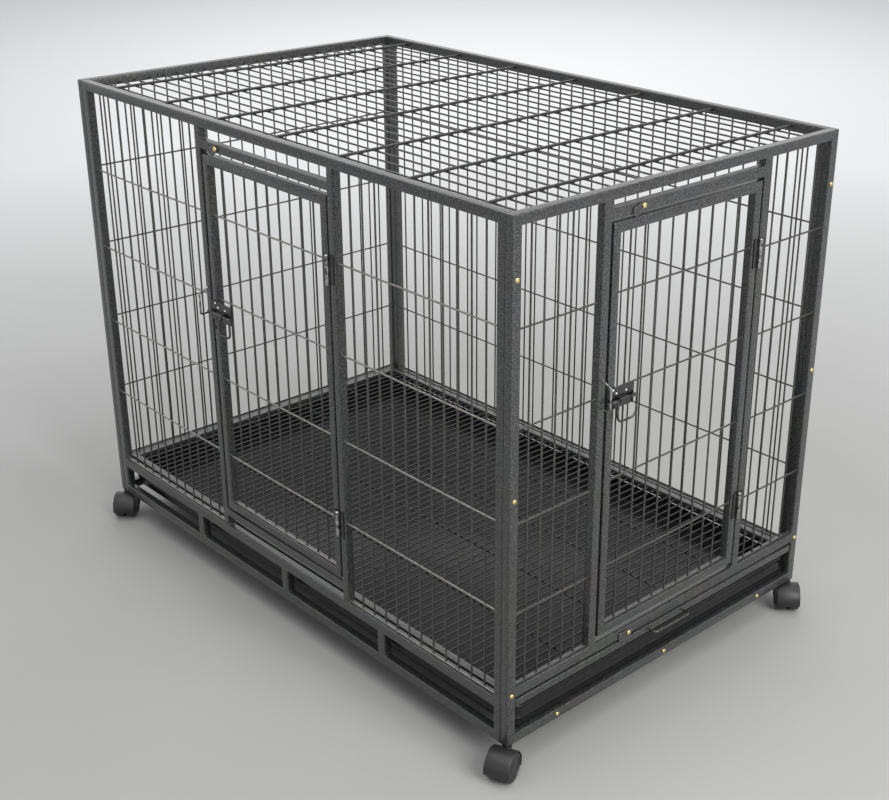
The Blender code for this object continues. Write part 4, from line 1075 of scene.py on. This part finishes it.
def make_button(name, place, turn, screw_x, screw_z):
    """A turn-button at its turn from straight down, in degrees, and the head of its screw."""
    stand = place @ Matrix.Translation((screw_x, 0.0, screw_z)) @ Matrix.Rotation(math.radians(turn), 4, "Y")
    stand = stand @ Matrix.Rotation(math.radians(90), 4, "X")
    lean = math.degrees(math.asin((TIP - EYE) / BUTTON_STEM))
    outline = arc(TIP, 180 - lean, 180 + 2 * lean, TIP_STEPS, y=-BUTTON_STEM)
    outline += arc(EYE, lean, 180 - 2 * lean, EYE_STEPS)
    shape = bmesh.new()
    add_plate(shape, outline, SEAM, SEAM + PLATE_THICK, stand, BUTTON_EDGE)
    button = name + "_button"
    finish_piece(button + "_stamped", shape, COAT, button, [button])
    shape = bmesh.new()
    add_screw(shape, facing_out(place, screw_x, screw_z, BUTTON_SCREW_OUT), *BUTTON_SCREW)
    finish_piece(button + "_screw_head", shape, BRASS, "cage", [button + "_screw"])


BUTTONS = (("front", FRONT, 67.0, 0.0481 - DOOR_HALF, FRONT_HEADER_Z + SLIM / 2),
           ("end", DOOR_END, 67.0, 0.0605 - DOOR_HALF, END_HEADER_Z + RAIL - SLIM / 2),
           ("grate", DOOR_END, 82.0, 0.0735 - DOOR_HALF, END_RAIL_Z + EYE))
for button in BUTTONS:
    make_button(*button)
print("turn-buttons", len(BUTTONS))

# %% [markdown]
# The panels are screwed together at the corner posts, and the tray bars to the base rails. The heads are
# small, so they are made here and not in the CAD.

# %% Panel screws
POST_SCREW, POST_SCREW_HEIGHTS = (0.0038, 0.0024), (0.714, 0.400, 0.0857)
BASE_SCREW, BASE_SCREW_PLACES = (0.0036, 0.0022), (-0.243, 0.0, 0.243)
post = WIDTH / 2 - RAIL / 2
screws = [(x, z, POST_SCREW) for x in (-post, post) for z in POST_SCREW_HEIGHTS]
screws += [(x, RAIL / 2, BASE_SCREW) for x in BASE_SCREW_PLACES]
shape = bmesh.new()
for place in (DOOR_END, FAR_END):
    for x, z, size in screws:
        add_screw(shape, facing_out(place, x, z), *size)
finish_piece("panel_screws", shape, BRASS, "cage")
print("panel screws", 2 * len(screws))

# %% [markdown]
# Castors. A moulded hood covers two wheels that turn by themselves on one axle, and the whole hood swivels on
# a stem in the post. The hood is a short thick arc carried round the wheels, with a web between them and a
# boss for the stem. Each castor stands at the same turn as in the CAD, in degrees.

# %% Castor hoods
WHEEL, WHEEL_WIDTH, WHEEL_GAP = 0.023, 0.0165, 0.0003
WEB = 0.006
HOOD_ROOM, HOOD_OUT, HOOD_EDGE = 0.0008, 0.0024, 0.0006
HOOD_START, HOOD_SWEEP, HOOD_STEPS = -25.0, 220.0, 34
BOSS_TOP, BOSS_SIDES = -0.0033, 32
TURNS = {"near_left": 22.0, "near_right": 45.0, "far_left": 45.0, "far_right": 30.0}


def make_hood(name, centre, lie):
    """The hood over both wheels, its web and its boss, moulded in one."""
    inner, outer, edge = WHEEL + HOOD_ROOM, WHEEL + HOOD_OUT, HOOD_EDGE
    half = WEB / 2 + WHEEL_WIDTH + WHEEL_GAP
    section = [(inner, -half + edge), (inner + edge, -half), (outer - edge, -half),
               (outer, -half + edge * 1.5), (outer, half - edge * 1.5), (outer - edge, half),
               (inner + edge, half), (inner, half - edge)]
    shape = bmesh.new()
    skin(shape, [[lie @ Vector((x, r * c, r * s)) for r, x in section]
                 for c, s in arc(1.0, HOOD_START, HOOD_SWEEP, HOOD_STEPS)])
    upright = lie @ Matrix(((0, 0, 1, 0), (1, 0, 0, 0), (0, 1, 0, 0), (0, 0, 0, 1)))
    add_plate(shape, arc(inner, HOOD_START, HOOD_SWEEP, HOOD_STEPS), -WEB / 2 + SEAM, WEB / 2 - SEAM, upright)
    stem_low, stem_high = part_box(name + "_stem")
    stem = (stem_low + stem_high) / 2
    add_turned(shape, [(0.0073, centre.z + WHEEL * 0.86), (0.0075, BOSS_TOP - 0.001), (0.0068, BOSS_TOP),
                       (0.0044, BOSS_TOP)], Matrix.Translation((stem.x, stem.y, 0.0)), BOSS_SIDES)
    finish_piece(name + "_hood_moulded", shape, CASTOR_BLACK, name, [name + "_hood"])


print("hood covers", HOOD_SWEEP, "degrees")

# %% [markdown]
# A wheel has a soft-cornered tread and a dished face with a rim and a hub cap, all in one profile. Each rides
# on a body of its own, which the CAD model's record names, so the two wheels turn apart.

# %% Castor wheels
WHEEL_SIDES = 48
WHEEL_BODIES = {}
for body_name, members in frame["record"]["behaviour"]["bodies"].items():
    for member in members:
        WHEEL_BODIES[member] = body_name


def make_wheel(name, lie, side):
    """A wheel on one side of the web: side is 1 or -1."""
    near = WEB / 2 + WHEEL_GAP
    far = near + WHEEL_WIDTH
    profile = [(0.0029, near), (WHEEL - 0.0012, near), (WHEEL, near + 0.0012), (WHEEL, far - 0.0030),
               (WHEEL - 0.0008, far - 0.0011), (WHEEL - 0.0026, far), (WHEEL - 0.0042, far),
               (WHEEL - 0.0050, far - 0.0010), (WHEEL - 0.0058, far - 0.0018), (0.0098, far - 0.0019),
               (0.0084, far - 0.0012), (0.0066, far - 0.0009), (0.0029, far - 0.0009)]
    shape = bmesh.new()
    add_turned(shape, profile, lie @ Matrix.Rotation(math.radians(90 * side), 4, "Y"), WHEEL_SIDES)
    finish_piece(name + "_moulded", shape, CASTOR_BLACK, WHEEL_BODIES[name], [name])


for corner, turn in TURNS.items():
    castor = corner + "_castor"
    axle_low, axle_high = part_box(castor + "_axle")
    centre = (axle_low + axle_high) / 2
    lie = Matrix.Translation(centre) @ Matrix.Rotation(math.radians(turn), 4, "Z")
    make_hood(castor, centre, lie)
    make_wheel(castor + "_inner_wheel", lie, -1)
    make_wheel(castor + "_outer_wheel", lie, 1)
print("castors", len(TURNS))

# %% [markdown]
# The rest of the CAD pieces are right as they are: the runners, the tray bars, the castor stems and the
# axles. They only take the finish of their neighbours.

# %% Finish for the CAD pieces that stay
FINISHES = {"powder_coat": COAT, "zinc": ZINC, "brass_screw": BRASS, "tray_plastic": TRAY_BLACK,
            "castor_plastic": CASTOR_BLACK}
slots = {row["node"]: row.get("material_slot") for row in frame["record"]["subparts"]}
kept = 0
for node, piece in frame["nodes"].items():
    material = FINISHES[slots.get(node) or "powder_coat"]
    for material_slot in piece.material_slots:
        material_slot.material = material
    kept += not piece.hide_render
print("CAD pieces that show:", kept)
